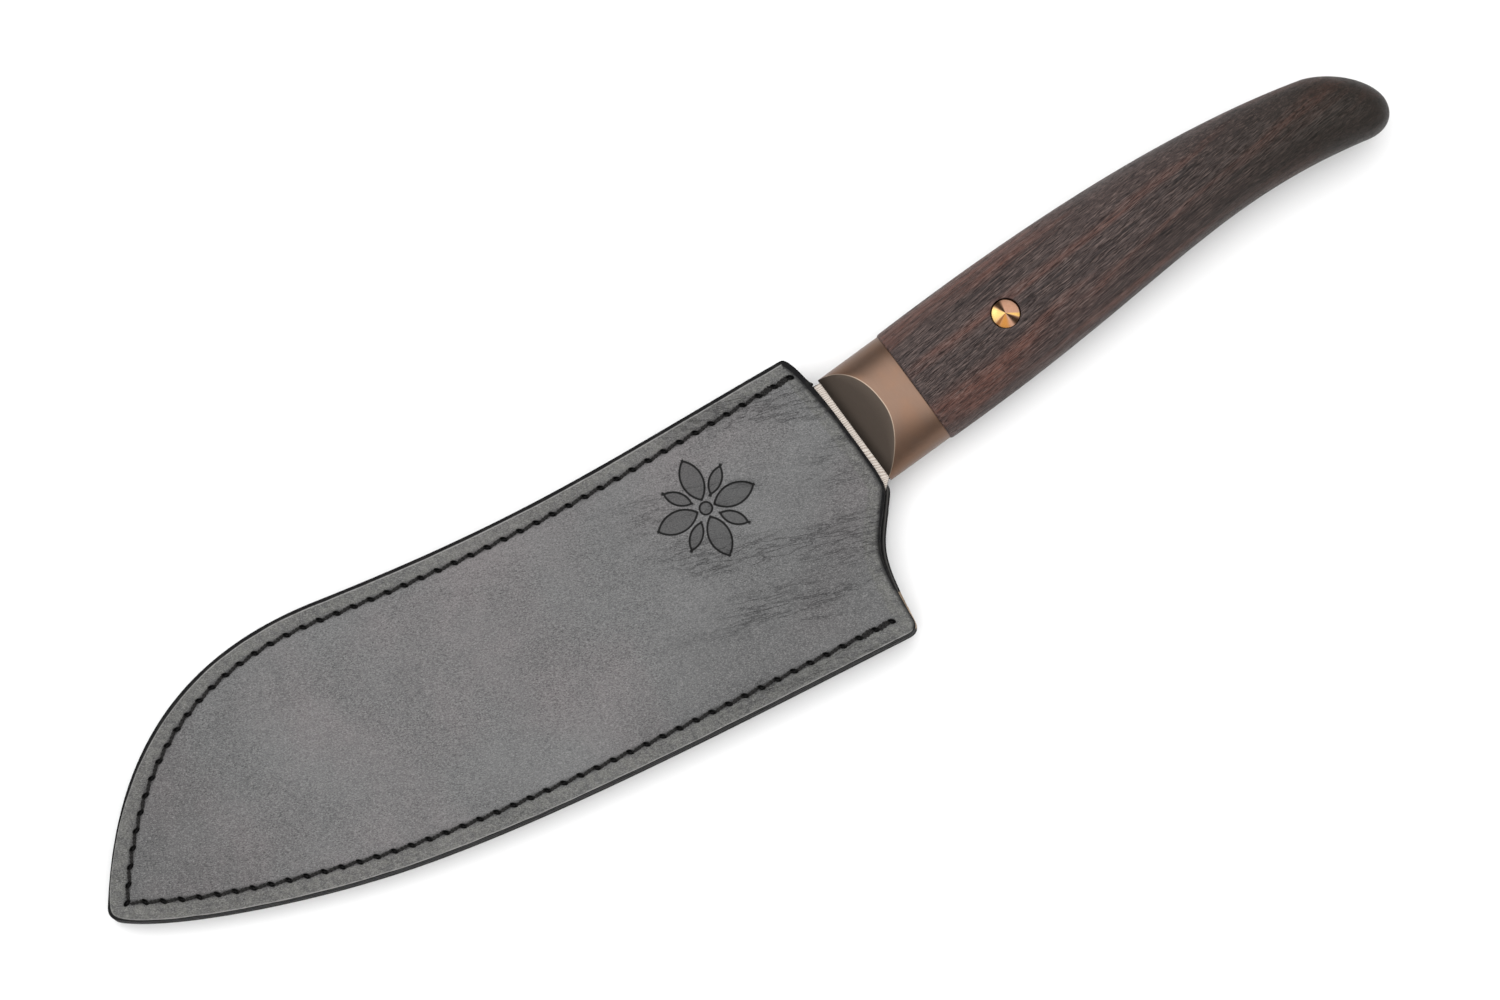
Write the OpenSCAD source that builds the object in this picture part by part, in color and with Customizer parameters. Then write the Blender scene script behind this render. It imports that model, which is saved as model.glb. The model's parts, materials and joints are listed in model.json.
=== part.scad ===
// Santoku kitchen knife in a saddle-stitched leather sheath, lying on its side on a table.
//
// Everything is drawn in the knife's own frame and rest() lays that frame on the table.
//   X  runs along the draw direction, towards the butt of the handle
//   Y  runs from the cutting edge towards the spine
//   Z  runs through the thickness, and 0 is the middle of the blade
// The frame's origin is the middle of the bolster's front face.
// The grip has a frame of its own, turned by grip_angle: S runs along it and H across it.

/* [Blade] */
// Length of the blade from the bolster to the tip
blade_len = 180; // [170:1:190]
// Height of the blade from its lowest edge point to the spine
blade_h = 51; // [49:0.5:51.5]
// Height of the spine above the middle of the bolster
spine_y = 12.2; // [11.5:0.1:12.4]
// Thickness of the blade at the spine beside the bolster
blade_t = 2.5; // [1.8:0.1:2.6]
// Thickness of the spine at the tip
tip_t = 1.1; // [0.6:0.1:1.4]
// Width of the sharpened bevel along the cutting edge
bevel_w = 0.9; // [0.5:0.1:1.5]

/* [Tang] */
// Length of the tang behind the bolster's front
tang_len = 76; // [60:1:90]
// Height of the tang inside the bolster
tang_h = 13; // [10:0.5:15]
// Thickness of the tang
tang_t = 2.0; // [1.4:0.1:2.0]
// Room for bedding epoxy around the tang in the handle
bedding_gap = 0.6; // [0.3:0.1:1.0]

/* [Grip] */
// Angle of the grip to the draw direction
grip_angle = 9.4; // [7:0.1:11]
// Length of the bolster
bolster_len = 15.5; // [13:0.1:18]
// Length of the grip from the bolster's front to the butt
grip_len = 132; // [120:1:142]
// Height of the grip where the wood starts
grip_h = 26.3; // [25:0.1:28]
// Half width of the bolster's oval
bolster_half_w = 9.4; // [8.5:0.1:10]
// How far the wood stands proud of the bolster
wood_step = 0.3; // [0.1:0.05:0.4]
// Half thickness of the bolster's front edge, where its side facets start
facet_lip = 2.2; // [1.5:0.1:2.4]
// Angle of the side facets to the blade
facet_angle = 42; // [40:0.5:50]

/* [Pin] */
// Distance of the pin from the bolster's front, along the grip
pin_s = 40; // [34:0.5:48]
// Height of the pin above the grip's own axis
pin_h = -0.1; // [-1:0.1:1.5]
// Radius of the pin
pin_r = 3.2; // [2.5:0.1:4]
// Height of the pin's domed ends
pin_dome = 0.6; // [0.4:0.1:1.2]

/* [Sheath] */
// Thickness of each leather panel
leather_t = 2.2; // [1.8:0.1:2.6]
// Thickness of the welt that keeps the panels apart
welt_t = 3.4; // [3.4:0.1:4]
// Length of the sheath from the bolster's front line to the toe
sheath_len = 187.3; // [186:0.1:197]
// Height of the sheath
sheath_h = 64.6; // [64:0.1:67]
// Height of the sheath's top corner above the middle of the bolster
sheath_top = 20.1; // [19.8:0.1:21]
// Room between the blade and the welt
pocket_gap = 0.6; // [0.4:0.1:0.8]
// How far the front panel's thumb scoop stands back from the back panel's
scoop_step = 1.0; // [0:0.1:1.4]

/* [Stitching] */
// Distance of the stitch line from the sheath's outer edge
stitch_inset = 4.1; // [3.4:0.1:4.2]
// Distance from one stitch hole to the next
stitch_pitch = 3.87; // [3.3:0.01:4.5]
// Width of the thread
thread_w = 0.8; // [0.5:0.1:1]
// Depth of the groove that the stitches lie in
groove_depth = 0.55; // [0.3:0.05:0.8]

/* [Draw] */
// How far the knife is drawn out, 0 is fully home
draw = 0; // [0:1:190]

/* [Hidden] */

curve_steps = 20;
ring_steps = 48;
groove_w = thread_w + 0.3;
thread_h = groove_depth - 0.1;
thread_leg_r = 0.32;
sheath_half_t = welt_t / 2 + leather_t;
fit_gap = 0.02;
far = 400;
overcut = 1;

// ---- Curves ----

function bezier(a, b, c, d, n) =
    [for (i = [0 : n]) let (t = i / n, s = 1 - t)
        s * s * s * a + 3 * s * s * t * b + 3 * s * t * t * c + t * t * t * d];

function bend(a, corner, b, n) =
    [for (i = [0 : n]) let (t = i / n, s = 1 - t) s * s * a + 2 * s * t * corner + t * t * b];

function unit(v) = v / norm(v);

function tail(list) = [for (i = [1 : len(list) - 1]) list[i]];

function backwards(list) = [for (i = [len(list) - 1 : -1 : 0]) list[i]];

// Direction of an open path at one of its points
function along(path, i) = unit(path[min(i + 1, len(path) - 1)] - path[max(i - 1, 0)]);

// An open path moved sideways, to the left of its direction
function beside(path, d) =
    [for (i = [0 : len(path) - 1]) let (t = along(path, i)) path[i] + d * [-t.y, t.x]];

// Distance travelled at each point of a path
function travelled(path) =
    [for (i = 0, s = 0; i < len(path);
          s = s + (i < len(path) - 1 ? norm(path[i + 1] - path[i]) : 0), i = i + 1) s];

// Points spaced evenly along a path, as close to the pitch as whole steps allow
function spaced(path, pitch) =
    let (
        s = travelled(path),
        count = round(s[len(s) - 1] / pitch),
        xs = [for (i = [0 : len(path) - 1]) [s[i], path[i].x]],
        ys = [for (i = [0 : len(path) - 1]) [s[i], path[i].y]]
    )
    [for (k = [0 : count]) let (at = s[len(s) - 1] * k / count) [lookup(at, xs), lookup(at, ys)]];

// A closed outline with a few of its points rounded off. Each corner is [point, reach].
function soften(path, corners) =
    [for (i = [0 : len(path) - 1])
        let (
            p = path[i],
            here = [for (c = corners) if (norm(p - c[0]) < 0.001) c],
            close = [for (c = corners) if (norm(p - c[0]) < c[1]) c]
        )
        each len(here) > 0
            ? let (
                reach = here[0][1],
                before = unit(path[(i + len(path) - 1) % len(path)] - p),
                after = unit(path[(i + 1) % len(path)] - p)
              )
              bend(p + reach * before, p, p + reach * after, 5)
            : len(close) > 0 ? [] : [p]];

// ---- Sheath outline: control points as shares of its length and height ----

function sheath_pt(u, v) = [-u * sheath_len, sheath_top - sheath_h + v * sheath_h];

mouth_top = sheath_pt(0.021, 1);
toe = sheath_pt(1, 0.358);
heel_corner = sheath_pt(0.036, 0.002);
mouth_low = sheath_pt(-0.0082, 0.478);

// From the mouth along the spine and round the nose to the toe
upper_edge = concat(
    bezier(mouth_top, sheath_pt(0.27, 0.961), sheath_pt(0.365, 0.912), sheath_pt(0.633, 0.982), curve_steps),
    tail(bezier(sheath_pt(0.633, 0.982), sheath_pt(0.813, 1.029), sheath_pt(0.923, 0.788), toe, curve_steps))
);

// From the toe along the cutting edge to the mouth
lower_edge = concat(
    bezier(toe, sheath_pt(0.964, 0.259), sheath_pt(0.814, 0.128), sheath_pt(0.689, 0.07), curve_steps / 2),
    tail(bezier(sheath_pt(0.689, 0.07), sheath_pt(0.511, -0.013), sheath_pt(0.225, 0.002), heel_corner,
                curve_steps))
);

// The thumb scoop, from the heel corner up to the straight part of the mouth
function scoop(step) =
    bezier(heel_corner, heel_corner + [-0.4 - 1.3 * step, 21.8], mouth_low + [-7.1 - 1.1 * step, -12.4],
           mouth_low + [-0.8 * step, 0], curve_steps);

// The panel's closed outline, clockwise from the top of the mouth when read from the toe side
function panel_outline(step) =
    soften(
        concat(upper_edge, tail(lower_edge), tail(scoop(step))),
        [[mouth_top, 3], [toe, 2], [heel_corner, 2.2], [mouth_low + [-0.8 * step, 0], 1.2]]
    );

front_outline = panel_outline(scoop_step);
back_outline = panel_outline(0);

// ---- Blade outline: control points as shares of its length and height ----

function blade_pt(u, v) = [-u * blade_len, spine_y + (v - 1) * blade_h];

tip = blade_pt(1, 0.365);
heel = blade_pt(0.058, 0.012);
nose_start = blade_pt(0.583, 0.961);

// Points of the bolster's front line, at a height above the grip's axis
function front_line(h) = [-h * sin(grip_angle), h * cos(grip_angle)] + [-fit_gap, 0];

choil_inset = 0.65;
blade_top = front_line(spine_y / cos(grip_angle));
blade_low = front_line(choil_inset - grip_h / 2);

nose_curve = backwards(bezier(nose_start, blade_pt(0.833, 0.944), blade_pt(0.944, 0.878), tip, curve_steps));
edge_curve = bezier(tip, blade_pt(0.906, 0.163), blade_pt(0.528, -0.043), heel, curve_steps * 2);
choil_curve = bezier(heel, heel + [0.5, 11.2], heel + [4, 17.2], blade_low, curve_steps / 2);
edge_lowest = min([for (p = edge_curve) p.y]);

// ---- Pocket between the welts: straight along the draw direction wherever the blade passes ----

pocket_straight_x = -blade_len / 4;
pocket_nose = beside(nose_curve, pocket_gap);
pocket_edge = [for (p = beside(edge_curve, -pocket_gap)) if (p.x < pocket_straight_x) p];
pocket_tip = tip + [-1.1, -0.35] * pocket_gap;
pocket_low_y = edge_lowest - pocket_gap;
pocket = concat(
    pocket_nose,
    [[0, spine_y + pocket_gap], [far, spine_y + pocket_gap]],
    [[far, pocket_low_y], [pocket_straight_x, pocket_low_y]],
    backwards(pocket_edge),
    [pocket_tip]
);

// ---- Stitch line ----

// Where the spine's run starts and the edge's run ends, and how close to the toe's stitch their curves go
stitch_start_x = -6.5;
stitch_end_x = -11;
stitch_toe_gap = 0.5;

// Where the two runs of stitches meet inside the toe
toe_in = unit(upper_edge[len(upper_edge) - 2] - toe) + unit(lower_edge[1] - toe);
stitch_toe = toe + stitch_inset * toe_in;
stitch_upper = concat(
    [for (p = beside(upper_edge, stitch_inset))
        if (p.x < stitch_start_x && p.y > stitch_toe.y + stitch_toe_gap) p],
    [stitch_toe]
);
stitch_lower = concat(
    [stitch_toe],
    [for (p = beside(lower_edge, stitch_inset))
        if (p.x > stitch_toe.x + stitch_toe_gap && p.x < stitch_end_x) p]
);
stitch_path = concat(stitch_upper, tail(stitch_lower));
stitch_holes = concat(spaced(stitch_upper, stitch_pitch), tail(spaced(stitch_lower, stitch_pitch)));

// ---- Grip: control points as shares of its length and height ----

function grip_pt(u, v) = [u * grip_len, v * grip_h];

wood_top = [bolster_len, grip_h / 2];
wood_low = [bolster_len, -grip_h / 2];
crown_top = grip_pt(0.911, 0.145);
crown_low = grip_pt(0.935, -0.53);
butt = grip_pt(1, -0.4);

back_curve = bezier(wood_top, grip_pt(0.402, 0.535), grip_pt(0.689, 0.46), crown_top, curve_steps);
belly_curve = bezier(wood_low, grip_pt(0.535, -0.533), grip_pt(0.673, -0.22), crown_low, curve_steps);
half_widths = bezier([0, 9.6], [0, 11.5], [0, 10.5], [0, 8.4], curve_steps);
butt_back = bezier(crown_top, grip_pt(0.963, 0.047), grip_pt(1.007, -0.225), butt, curve_steps / 2);
butt_belly = bezier(crown_low, grip_pt(0.966, -0.58), grip_pt(0.994, -0.545), butt, curve_steps / 2);

// One closed oval ring of 3-D points between a top and a bottom point, slightly squarer than an ellipse
function oval(top, low, half_w, grow) =
    let (middle = (top + low) / 2, reach = (top - low) / 2, size = 1 + grow / norm(reach), squareness = 0.88)
    [for (i = [0 : ring_steps - 1])
        let (
            a = 360 * i / ring_steps,
            up = sign(cos(a)) * pow(abs(cos(a)), squareness),
            out = sign(sin(a)) * pow(abs(sin(a)), squareness),
            p = middle + reach * up * size
        )
        [p.x, p.y, out * (half_w + grow)]];

wood_rings = concat(
    [for (i = [0 : curve_steps]) oval(back_curve[i], belly_curve[i], half_widths[i].y, wood_step)],
    [for (i = [1 : curve_steps / 2 - 1])
        let (q = 2 * i / curve_steps)
        oval(butt_back[i], butt_belly[i], half_widths[curve_steps].y * (1 - pow(q, 2.5)),
             wood_step * (1 - q))]
);

bolster_rings = [
    oval([0, grip_h / 2], [0, -grip_h / 2], bolster_half_w, 0),
    oval([bolster_len - fit_gap, grip_h / 2], [bolster_len - fit_gap, -grip_h / 2], bolster_half_w, 0)
];

// ---- Resting pose: the sheath's edge side and the belly of the grip touch the table ----

// Direction, seen from above, in which the lying knife rises
rise_angle = 60.6;
rise_dir = [cos(rise_angle), sin(rise_angle), 0];
tilt_axis = [rise_dir.y, -rise_dir.x, 0];

function to_knife(p) =
    [p.x * cos(grip_angle) - p.y * sin(grip_angle), p.x * sin(grip_angle) + p.y * cos(grip_angle), p.z];

grip_points = [for (ring = concat(bolster_rings, wood_rings), p = ring) to_knife(p)];
bed_points = [for (p = back_outline) [p.x, p.y, -sheath_half_t]];
cover_points = [for (p = bed_points) [p.x, p.y, sheath_half_t]];
bed_reach = min([for (p = bed_points) p * rise_dir]);
tilt = max([for (p = grip_points)
    if (p.x > bolster_len / 2) atan2(-(p.z + sheath_half_t), p * rise_dir - bed_reach)]);

// Rodrigues' turn about the tilt axis
function laid(p) =
    p * cos(tilt) + cross(tilt_axis, p) * sin(tilt) + tilt_axis * (tilt_axis * p) * (1 - cos(tilt));

laid_points = [for (p = concat(grip_points, bed_points, cover_points)) laid(p)];
low = [for (k = [0 : 2]) min([for (p = laid_points) p[k]])];
high = [for (k = [0 : 2]) max([for (p = laid_points) p[k]])];

module rest()
    translate([-(low.x + high.x) / 2, -(low.y + high.y) / 2, -low.z])
        rotate(a = tilt, v = tilt_axis) children();

// The knife's pieces, drawn out of the sheath by the draw distance
module knife_side() rest() translate([draw, 0, 0]) children();

module on_grip() rotate(grip_angle) children();

// ---- Shapes ----

// A closed solid through rings of points that ends in a single point
module loft_to_point(rings, point) {
    n = len(rings[0]);
    m = len(rings);
    points = concat([for (ring = rings, p = ring) p], [point]);
    sides = [for (j = [0 : m - 2], i = [0 : n - 1])
        let (a = j * n + i, b = j * n + (i + 1) % n)
        each [[a, b, b + n], [a, b + n, a + n]]];
    first = [for (i = [n - 1 : -1 : 0]) i];
    last = [for (i = [0 : n - 1]) [(m - 1) * n + i, (m - 1) * n + (i + 1) % n, m * n]];
    polyhedron(points, concat(sides, [first], last), convexity = 4);
}

// ---- Sheath ----

// A strip along the stitch line, for the groove in a panel
module stitch_groove()
    polygon(concat(beside(stitch_path, groove_w / 2), backwards(beside(stitch_path, -groove_w / 2))));

// A leather panel from its inner face up, with the groove in its outer face
module panel(outline)
    translate([0, 0, welt_t / 2]) difference() {
        linear_extrude(leather_t) polygon(outline);
        translate([0, 0, leather_t - groove_depth]) linear_extrude(groove_depth + overcut) stitch_groove();
    }

module front_panel()
    color("dimgray") rest() panel(front_outline);

module back_panel()
    color("dimgray") rest() mirror([0, 0, 1]) panel(back_outline);

module welt_ring()
    linear_extrude(welt_t - fit_gap, center = true)
        difference() {
            polygon(back_outline);
            polygon(pocket);
        }

// The side of the joint at the toe that the spine's welt is on
welt_joint = toe + [-5, -1.9];

module spine_side(margin)
    linear_extrude(welt_t + overcut, center = true)
        polygon([
            welt_joint + [0, margin], pocket_tip + [0, margin], [0, pocket_tip.y + margin],
            [far, 0], [far, far], [-far, far], [-far, toe.y]
        ]);

module spine_welt()
    color("tan") rest() intersection() {
        welt_ring();
        spine_side(fit_gap);
    }

module edge_welt()
    color("tan") rest() difference() {
        welt_ring();
        spine_side(0);
    }

// One straight run of thread between two neighbouring holes, a little short of both
run_inset = 0.12;

module stitch(a, b, z) {
    run = b - a;
    translate([a.x, a.y, z])
        rotate(atan2(run.y, run.x))
            translate([run_inset, -thread_w / 2, 0])
                cube([norm(run) - 2 * run_inset, thread_w, thread_h]);
}

module saddle_stitching()
    color("black") rest() {
        for (i = [0 : len(stitch_holes) - 2]) {
            stitch(stitch_holes[i], stitch_holes[i + 1], sheath_half_t - groove_depth);
            stitch(stitch_holes[i], stitch_holes[i + 1], groove_depth - sheath_half_t - thread_h);
        }
        for (p = stitch_holes)
            translate([p.x, p.y, 0])
                cylinder(h = 2 * (sheath_half_t - groove_depth + thread_h / 2), r = thread_leg_r,
                         center = true, $fn = 16);
    }

// ---- Knife ----

blade_rows = 8;
edge_half_t = 0.02;
bevel_half_t = 0.14;
flat_share = 0.72;
nose_top = tail(nose_curve);
spine_top = [for (i = [1 : curve_steps]) nose_start + (blade_top - nose_start) * i / curve_steps];
blade_upper = concat([tip], nose_top, spine_top);
blade_lower_edge = [for (i = [0 : len(blade_upper) - 1 - curve_steps / 4])
    edge_curve[round(i * (len(edge_curve) - 1) / (len(blade_upper) - 1 - curve_steps / 4))]];

// Half the blade's thickness at a point, from its place along the blade and its height over the edge.
// The bevel comes first, then the flat grind, and above flat_share of the height the full thickness.
function half_thickness(p, edge_y) =
    let (
        full = (tip_t + (blade_t - tip_t) * min(1, (p.x + blade_len) / blade_len)) / 2,
        height = p.y - edge_y,
        ground = bevel_half_t + (full - bevel_half_t) * min(1, height / (flat_share * blade_h))
    )
    height < bevel_w ? edge_half_t + (bevel_half_t - edge_half_t) * height / bevel_w : ground;

// Share of the height at each row: one row lies on the bevel's upper line
function row_share(j, height) =
    j == 0 ? 0 : j == 1 ? bevel_w / max(height, 3 * bevel_w) : 0.1 + 0.9 * (j - 1) / (blade_rows - 1);

// The blade as two mirrored grids of points between its lower outline and its spine
module blade_body() {
    lower = concat(blade_lower_edge, tail(choil_curve));
    upper = concat(blade_upper, [for (i = [1 : len(lower) - len(blade_upper)]) blade_top]);
    n = len(lower);
    rows = blade_rows + 1;
    grid = [for (i = [0 : n - 1], j = [0 : blade_rows])
        let (
            height = norm(upper[i] - lower[i]),
            p = lower[i] + (upper[i] - lower[i]) * row_share(j, height),
            edge_y = min(lower[i].y, heel.y + (lower[i].x < heel.x ? far : 0))
        )
        [p.x, p.y, half_thickness(p, edge_y)]];
    points = concat(grid, [for (p = grid) [p.x, p.y, -p.z]]);
    back = n * rows;
    faces = [for (i = [0 : n - 2], j = [0 : blade_rows - 1])
        let (a = i * rows + j, b = a + rows)
        each [
            [a, a + 1, b + 1], [a, b + 1, b],
            [back + a, back + b + 1, back + a + 1], [back + a, back + b, back + b + 1]
        ]];
    rim = concat(
        [for (i = [0 : n - 1]) i * rows],
        [for (j = [1 : blade_rows]) (n - 1) * rows + j],
        [for (i = [n - 2 : -1 : 0]) i * rows + blade_rows],
        [for (j = [blade_rows - 1 : -1 : 1]) j]
    );
    walls = [for (k = [0 : len(rim) - 1])
        let (a = rim[k], b = rim[(k + 1) % len(rim)])
        each [[a, b, back + b], [a, back + b, back + a]]];
    polyhedron(points, concat(faces, walls), convexity = 4);
}

// The tang's side view, from its root inside the blade to its end with two cut corners
tang_root = 5;
tang_corner = 3;

module tang_side(grow)
    polygon([
        [-tang_root, tang_h / 2 + grow], [-tang_root, -tang_h / 2 - grow],
        [tang_len - tang_corner + grow, -tang_h / 3 - grow], [tang_len + grow, tang_corner - tang_h / 3],
        [tang_len + grow, tang_h / 3 - tang_corner], [tang_len - tang_corner + grow, tang_h / 3 + grow]
    ]);

module pin_bore()
    translate([pin_s, pin_h, 0]) cylinder(h = far, r = pin_r + fit_gap, center = true, $fn = ring_steps);

module blade()
    color("silver") knife_side() {
        blade_body();
        on_grip() difference() {
            linear_extrude(tang_t, center = true) tang_side(0);
            pin_bore();
        }
    }

// Everything beyond the two side facets that meet at the bolster's front edge
module facet_cuts()
    for (side = [0, 180])
        rotate([side, 0, 0])
            translate([0, 0, facet_lip])
                rotate([0, -facet_angle, 0])
                    translate([-grip_h, -grip_h, 0]) cube([3, 2, 2] * grip_h);

module bolster()
    color("rosybrown") knife_side() on_grip()
        difference() {
            rotate([90, 0, 90])
                linear_extrude(bolster_len - fit_gap) polygon([for (p = bolster_rings[0]) [p.y, p.z]]);
            facet_cuts();
            linear_extrude(tang_t + 2 * fit_gap, center = true) tang_side(fit_gap);
        }

// The blind slot in the wood that takes the tang and its bedding
module tang_slot()
    intersection() {
        linear_extrude(tang_t + 2 * bedding_gap, center = true) tang_side(bedding_gap);
        translate([bolster_len, -grip_h, -grip_h]) cube([far, 2 * grip_h, 2 * grip_h]);
    }

module handle()
    color("saddlebrown") knife_side() on_grip()
        difference() {
            loft_to_point(wood_rings, [butt.x, butt.y, 0]);
            tang_slot();
            pin_bore();
        }

module tang_epoxy()
    color("khaki") knife_side() on_grip()
        difference() {
            tang_slot();
            linear_extrude(tang_t, center = true) tang_side(0);
            pin_bore();
        }

// Half the width of the wood at the pin
pin_half_w = wood_step + lookup(pin_s, [for (i = [0 : curve_steps]) [back_curve[i].x, half_widths[i].y]]);

// The pin's profile: a straight shank with a shallow dome at each end, whose top stays just below the wood
pin_sunk = 0.05;
pin_rim = pin_half_w - pin_sunk - pin_dome;
dome_r = (pin_r * pin_r + pin_dome * pin_dome) / (2 * pin_dome);
dome_steps = 8;
dome_half_angle = asin(pin_r / dome_r);
dome = [for (i = [0 : dome_steps]) let (a = dome_half_angle * (1 - i / dome_steps))
    [dome_r * sin(a), pin_rim + pin_dome - dome_r * (1 - cos(a))]];

module handle_pin()
    color("peru") knife_side() on_grip() translate([pin_s, pin_h, 0])
        rotate_extrude($fn = ring_steps)
            polygon(concat([for (p = backwards(dome)) [p.x, -p.y]], dome));

front_panel();
back_panel();
spine_welt();
edge_welt();
saddle_stitching();
blade();
bolster();
handle();
handle_pin();
tang_epoxy();
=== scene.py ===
"""Looks of a santoku knife in its saddle-stitched leather sheath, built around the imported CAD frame.

Shapes are written in millimetres in the knife's own frame (X along the draw direction towards the butt,
Y from the cutting edge towards the spine, Z through the thickness, origin in the middle of the bolster's
front) or in the grip's frame, which is that one turned by GRIP_ANGLE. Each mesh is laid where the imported
record says the knife is. It keeps its own frame's coordinates as a vertex attribute, which the materials
read.
"""

import json
import math

import bmesh
import bpy
import numpy as np
from mathutils import Matrix, Vector
from mathutils.geometry import delaunay_2d_cdt
from mathutils.kdtree import KDTree


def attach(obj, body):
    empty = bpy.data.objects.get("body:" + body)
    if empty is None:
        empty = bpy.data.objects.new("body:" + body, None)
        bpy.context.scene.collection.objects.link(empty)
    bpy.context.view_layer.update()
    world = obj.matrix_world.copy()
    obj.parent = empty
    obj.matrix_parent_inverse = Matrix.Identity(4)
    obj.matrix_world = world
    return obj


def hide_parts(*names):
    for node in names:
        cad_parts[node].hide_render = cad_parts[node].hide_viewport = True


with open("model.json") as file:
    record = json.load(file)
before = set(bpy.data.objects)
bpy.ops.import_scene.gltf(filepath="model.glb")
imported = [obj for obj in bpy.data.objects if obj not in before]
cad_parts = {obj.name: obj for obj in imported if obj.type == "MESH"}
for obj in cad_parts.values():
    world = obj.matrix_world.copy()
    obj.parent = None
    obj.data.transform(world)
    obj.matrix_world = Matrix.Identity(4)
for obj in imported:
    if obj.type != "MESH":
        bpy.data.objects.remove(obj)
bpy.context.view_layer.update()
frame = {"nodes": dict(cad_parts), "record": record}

MM = 0.001

# ---- Sizes in millimetres, the same as the CAD's ----

BLADE_LEN = 180.0
BLADE_H = 51.0
SPINE_Y = 12.2
BLADE_T = 2.5
TIP_T = 1.1
BEVEL_W = 0.9
BEVEL_HALF_T = 0.14
FLAT_SHARE = 0.72
TANG_LEN = 76.0
TANG_H = 13.0
TANG_T = 2.0
TANG_CORNER = 3.0

GRIP_ANGLE = math.radians(9.4)
GRIP_LEN = 132.0
GRIP_H = 26.3
BOLSTER_LEN = 15.5
BOLSTER_HALF_W = 9.4
FACET_LIP = 2.2
FACET_SLOPE = math.tan(math.radians(42))
WOOD_STEP = 0.3
SQUARENESS = 0.88
PIN_S = 40.0
PIN_H = -0.1
PIN_R = 3.2
PIN_DOME = 0.6
PIN_SUNK = 0.05
PIN_AT = np.array([PIN_S, PIN_H])

SHEATH_LEN = 187.3
SHEATH_H = 64.6
SHEATH_TOP = 20.1
LEATHER_T = 2.2
WELT_T = 3.4
SHEATH_HALF_T = WELT_T / 2 + LEATHER_T
POCKET_GAP = 0.6
SCOOP_STEP = 1.0
STITCH_INSET = 4.1
STITCH_PITCH = 3.87

# The sheath's back face is the mount, and this is where the mount sits in the knife's frame
MOUNT_AT = Vector((-90.0, -13.0, -SHEATH_HALF_T))


# ---- Frames ----

def knife_frame():
    """Matrix from the knife's frame, in metres, to the row frame, from the record's joint and mount."""
    joint = frame["record"]["behaviour"]["joints"][0]
    mount = frame["record"]["mounts"][0]
    x = Vector(joint["axis"]).normalized()
    y = (-Vector(mount["axis"])).cross(x).normalized()
    turn = Matrix((x, y, x.cross(y))).transposed().to_4x4()
    return Matrix.Translation(mount["pos_m"]) @ turn @ Matrix.Translation(-MOUNT_AT * MM)


KNIFE = knife_frame()
GRIP = KNIFE @ Matrix.Rotation(GRIP_ANGLE, 4, "Z")


# ---- Curves: arrays of 2-D points ----

def pt(x, y):
    return np.array([x, y], float)


def left(v):
    """A direction turned a quarter to the left."""
    return pt(-v[1], v[0])


def turns(count):
    """Evenly spaced angles round a circle."""
    return np.linspace(0, math.tau, count, endpoint=False)


def circle(count):
    return np.stack([np.cos(turns(count)), np.sin(turns(count))], axis=1)


def at_level(path, level):
    """Flat points as points in space, all at one level."""
    return np.column_stack([path, np.full(len(path), level)])


def closest(path, point):
    """Index of the path's point nearest to this one."""
    return int(np.argmin(np.linalg.norm(path - point, axis=1)))


def bezier(a, b, c, d, steps=120):
    t = np.linspace(0, 1, steps + 1)[:, None]
    s = 1 - t
    return s**3 * a + 3 * s * s * t * b + 3 * s * t * t * c + t**3 * d


def bend(a, corner, b, steps=12):
    t = np.linspace(0, 1, steps + 1)[:, None]
    return (1 - t) ** 2 * a + 2 * (1 - t) * t * corner + t * t * b


def join(*paths):
    return np.concatenate([paths[0]] + [p[1:] for p in paths[1:]])


def travelled(path):
    return np.concatenate([[0.0], np.cumsum(np.linalg.norm(np.diff(path, axis=0), axis=1))])


def at_distances(path, distances):
    s = travelled(path)
    return np.stack([np.interp(distances, s, path[:, k]) for k in range(path.shape[1])], axis=1)


def even(path, pitch):
    """The path again with evenly spaced points, as close to the pitch as whole steps allow."""
    length = travelled(path)[-1]
    return at_distances(path, np.linspace(0, length, max(2, round(length / pitch) + 1)))


def tangents(path, closed=False):
    if closed:
        t = np.roll(path, -1, axis=0) - np.roll(path, 1, axis=0)
    else:
        t = np.gradient(path, axis=0)
    return t / np.linalg.norm(t, axis=1)[:, None]


def left_of(t):
    return np.stack([-t[:, 1], t[:, 0]], axis=1)


def beside(path, d, closed=False):
    return path + d * left_of(tangents(path, closed))


def rounded(path, corner, reach):
    """A closed path with one of its corners rounded off, starting from this distance before it."""
    path = np.roll(path, len(path) // 2 - closest(path, corner), axis=0)
    cut = np.nonzero(np.linalg.norm(path - corner, axis=1) < reach)[0]
    a, b = path[cut[0] - 1], path[cut[-1] + 1]
    return np.concatenate([path[: cut[0]], bend(a, corner, b)[1:-1], path[cut[-1] + 1 :]])


def nearest(points, path, closed=True):
    """Distance from each point to a finely stepped path, and the index of the path's nearest point."""
    tree = KDTree(len(path))
    for k, p in enumerate(path.tolist()):
        tree.insert((*p, 0.0), k)
    tree.balance()
    at = np.array([tree.find((*p, 0.0))[1] for p in points.tolist()], int)
    gap = np.full(len(points), np.inf)
    for first in (at - 1, at):
        first = first % len(path) if closed else np.clip(first, 0, len(path) - 2)
        a, b = path[first], path[(first + 1) % len(path)]
        run = b - a
        t = np.clip(((points - a) * run).sum(1) / np.maximum((run**2).sum(1), 1e-12), 0, 1)
        gap = np.minimum(gap, np.linalg.norm(points - a - t[:, None] * run, axis=1))
    return gap, at


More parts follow.
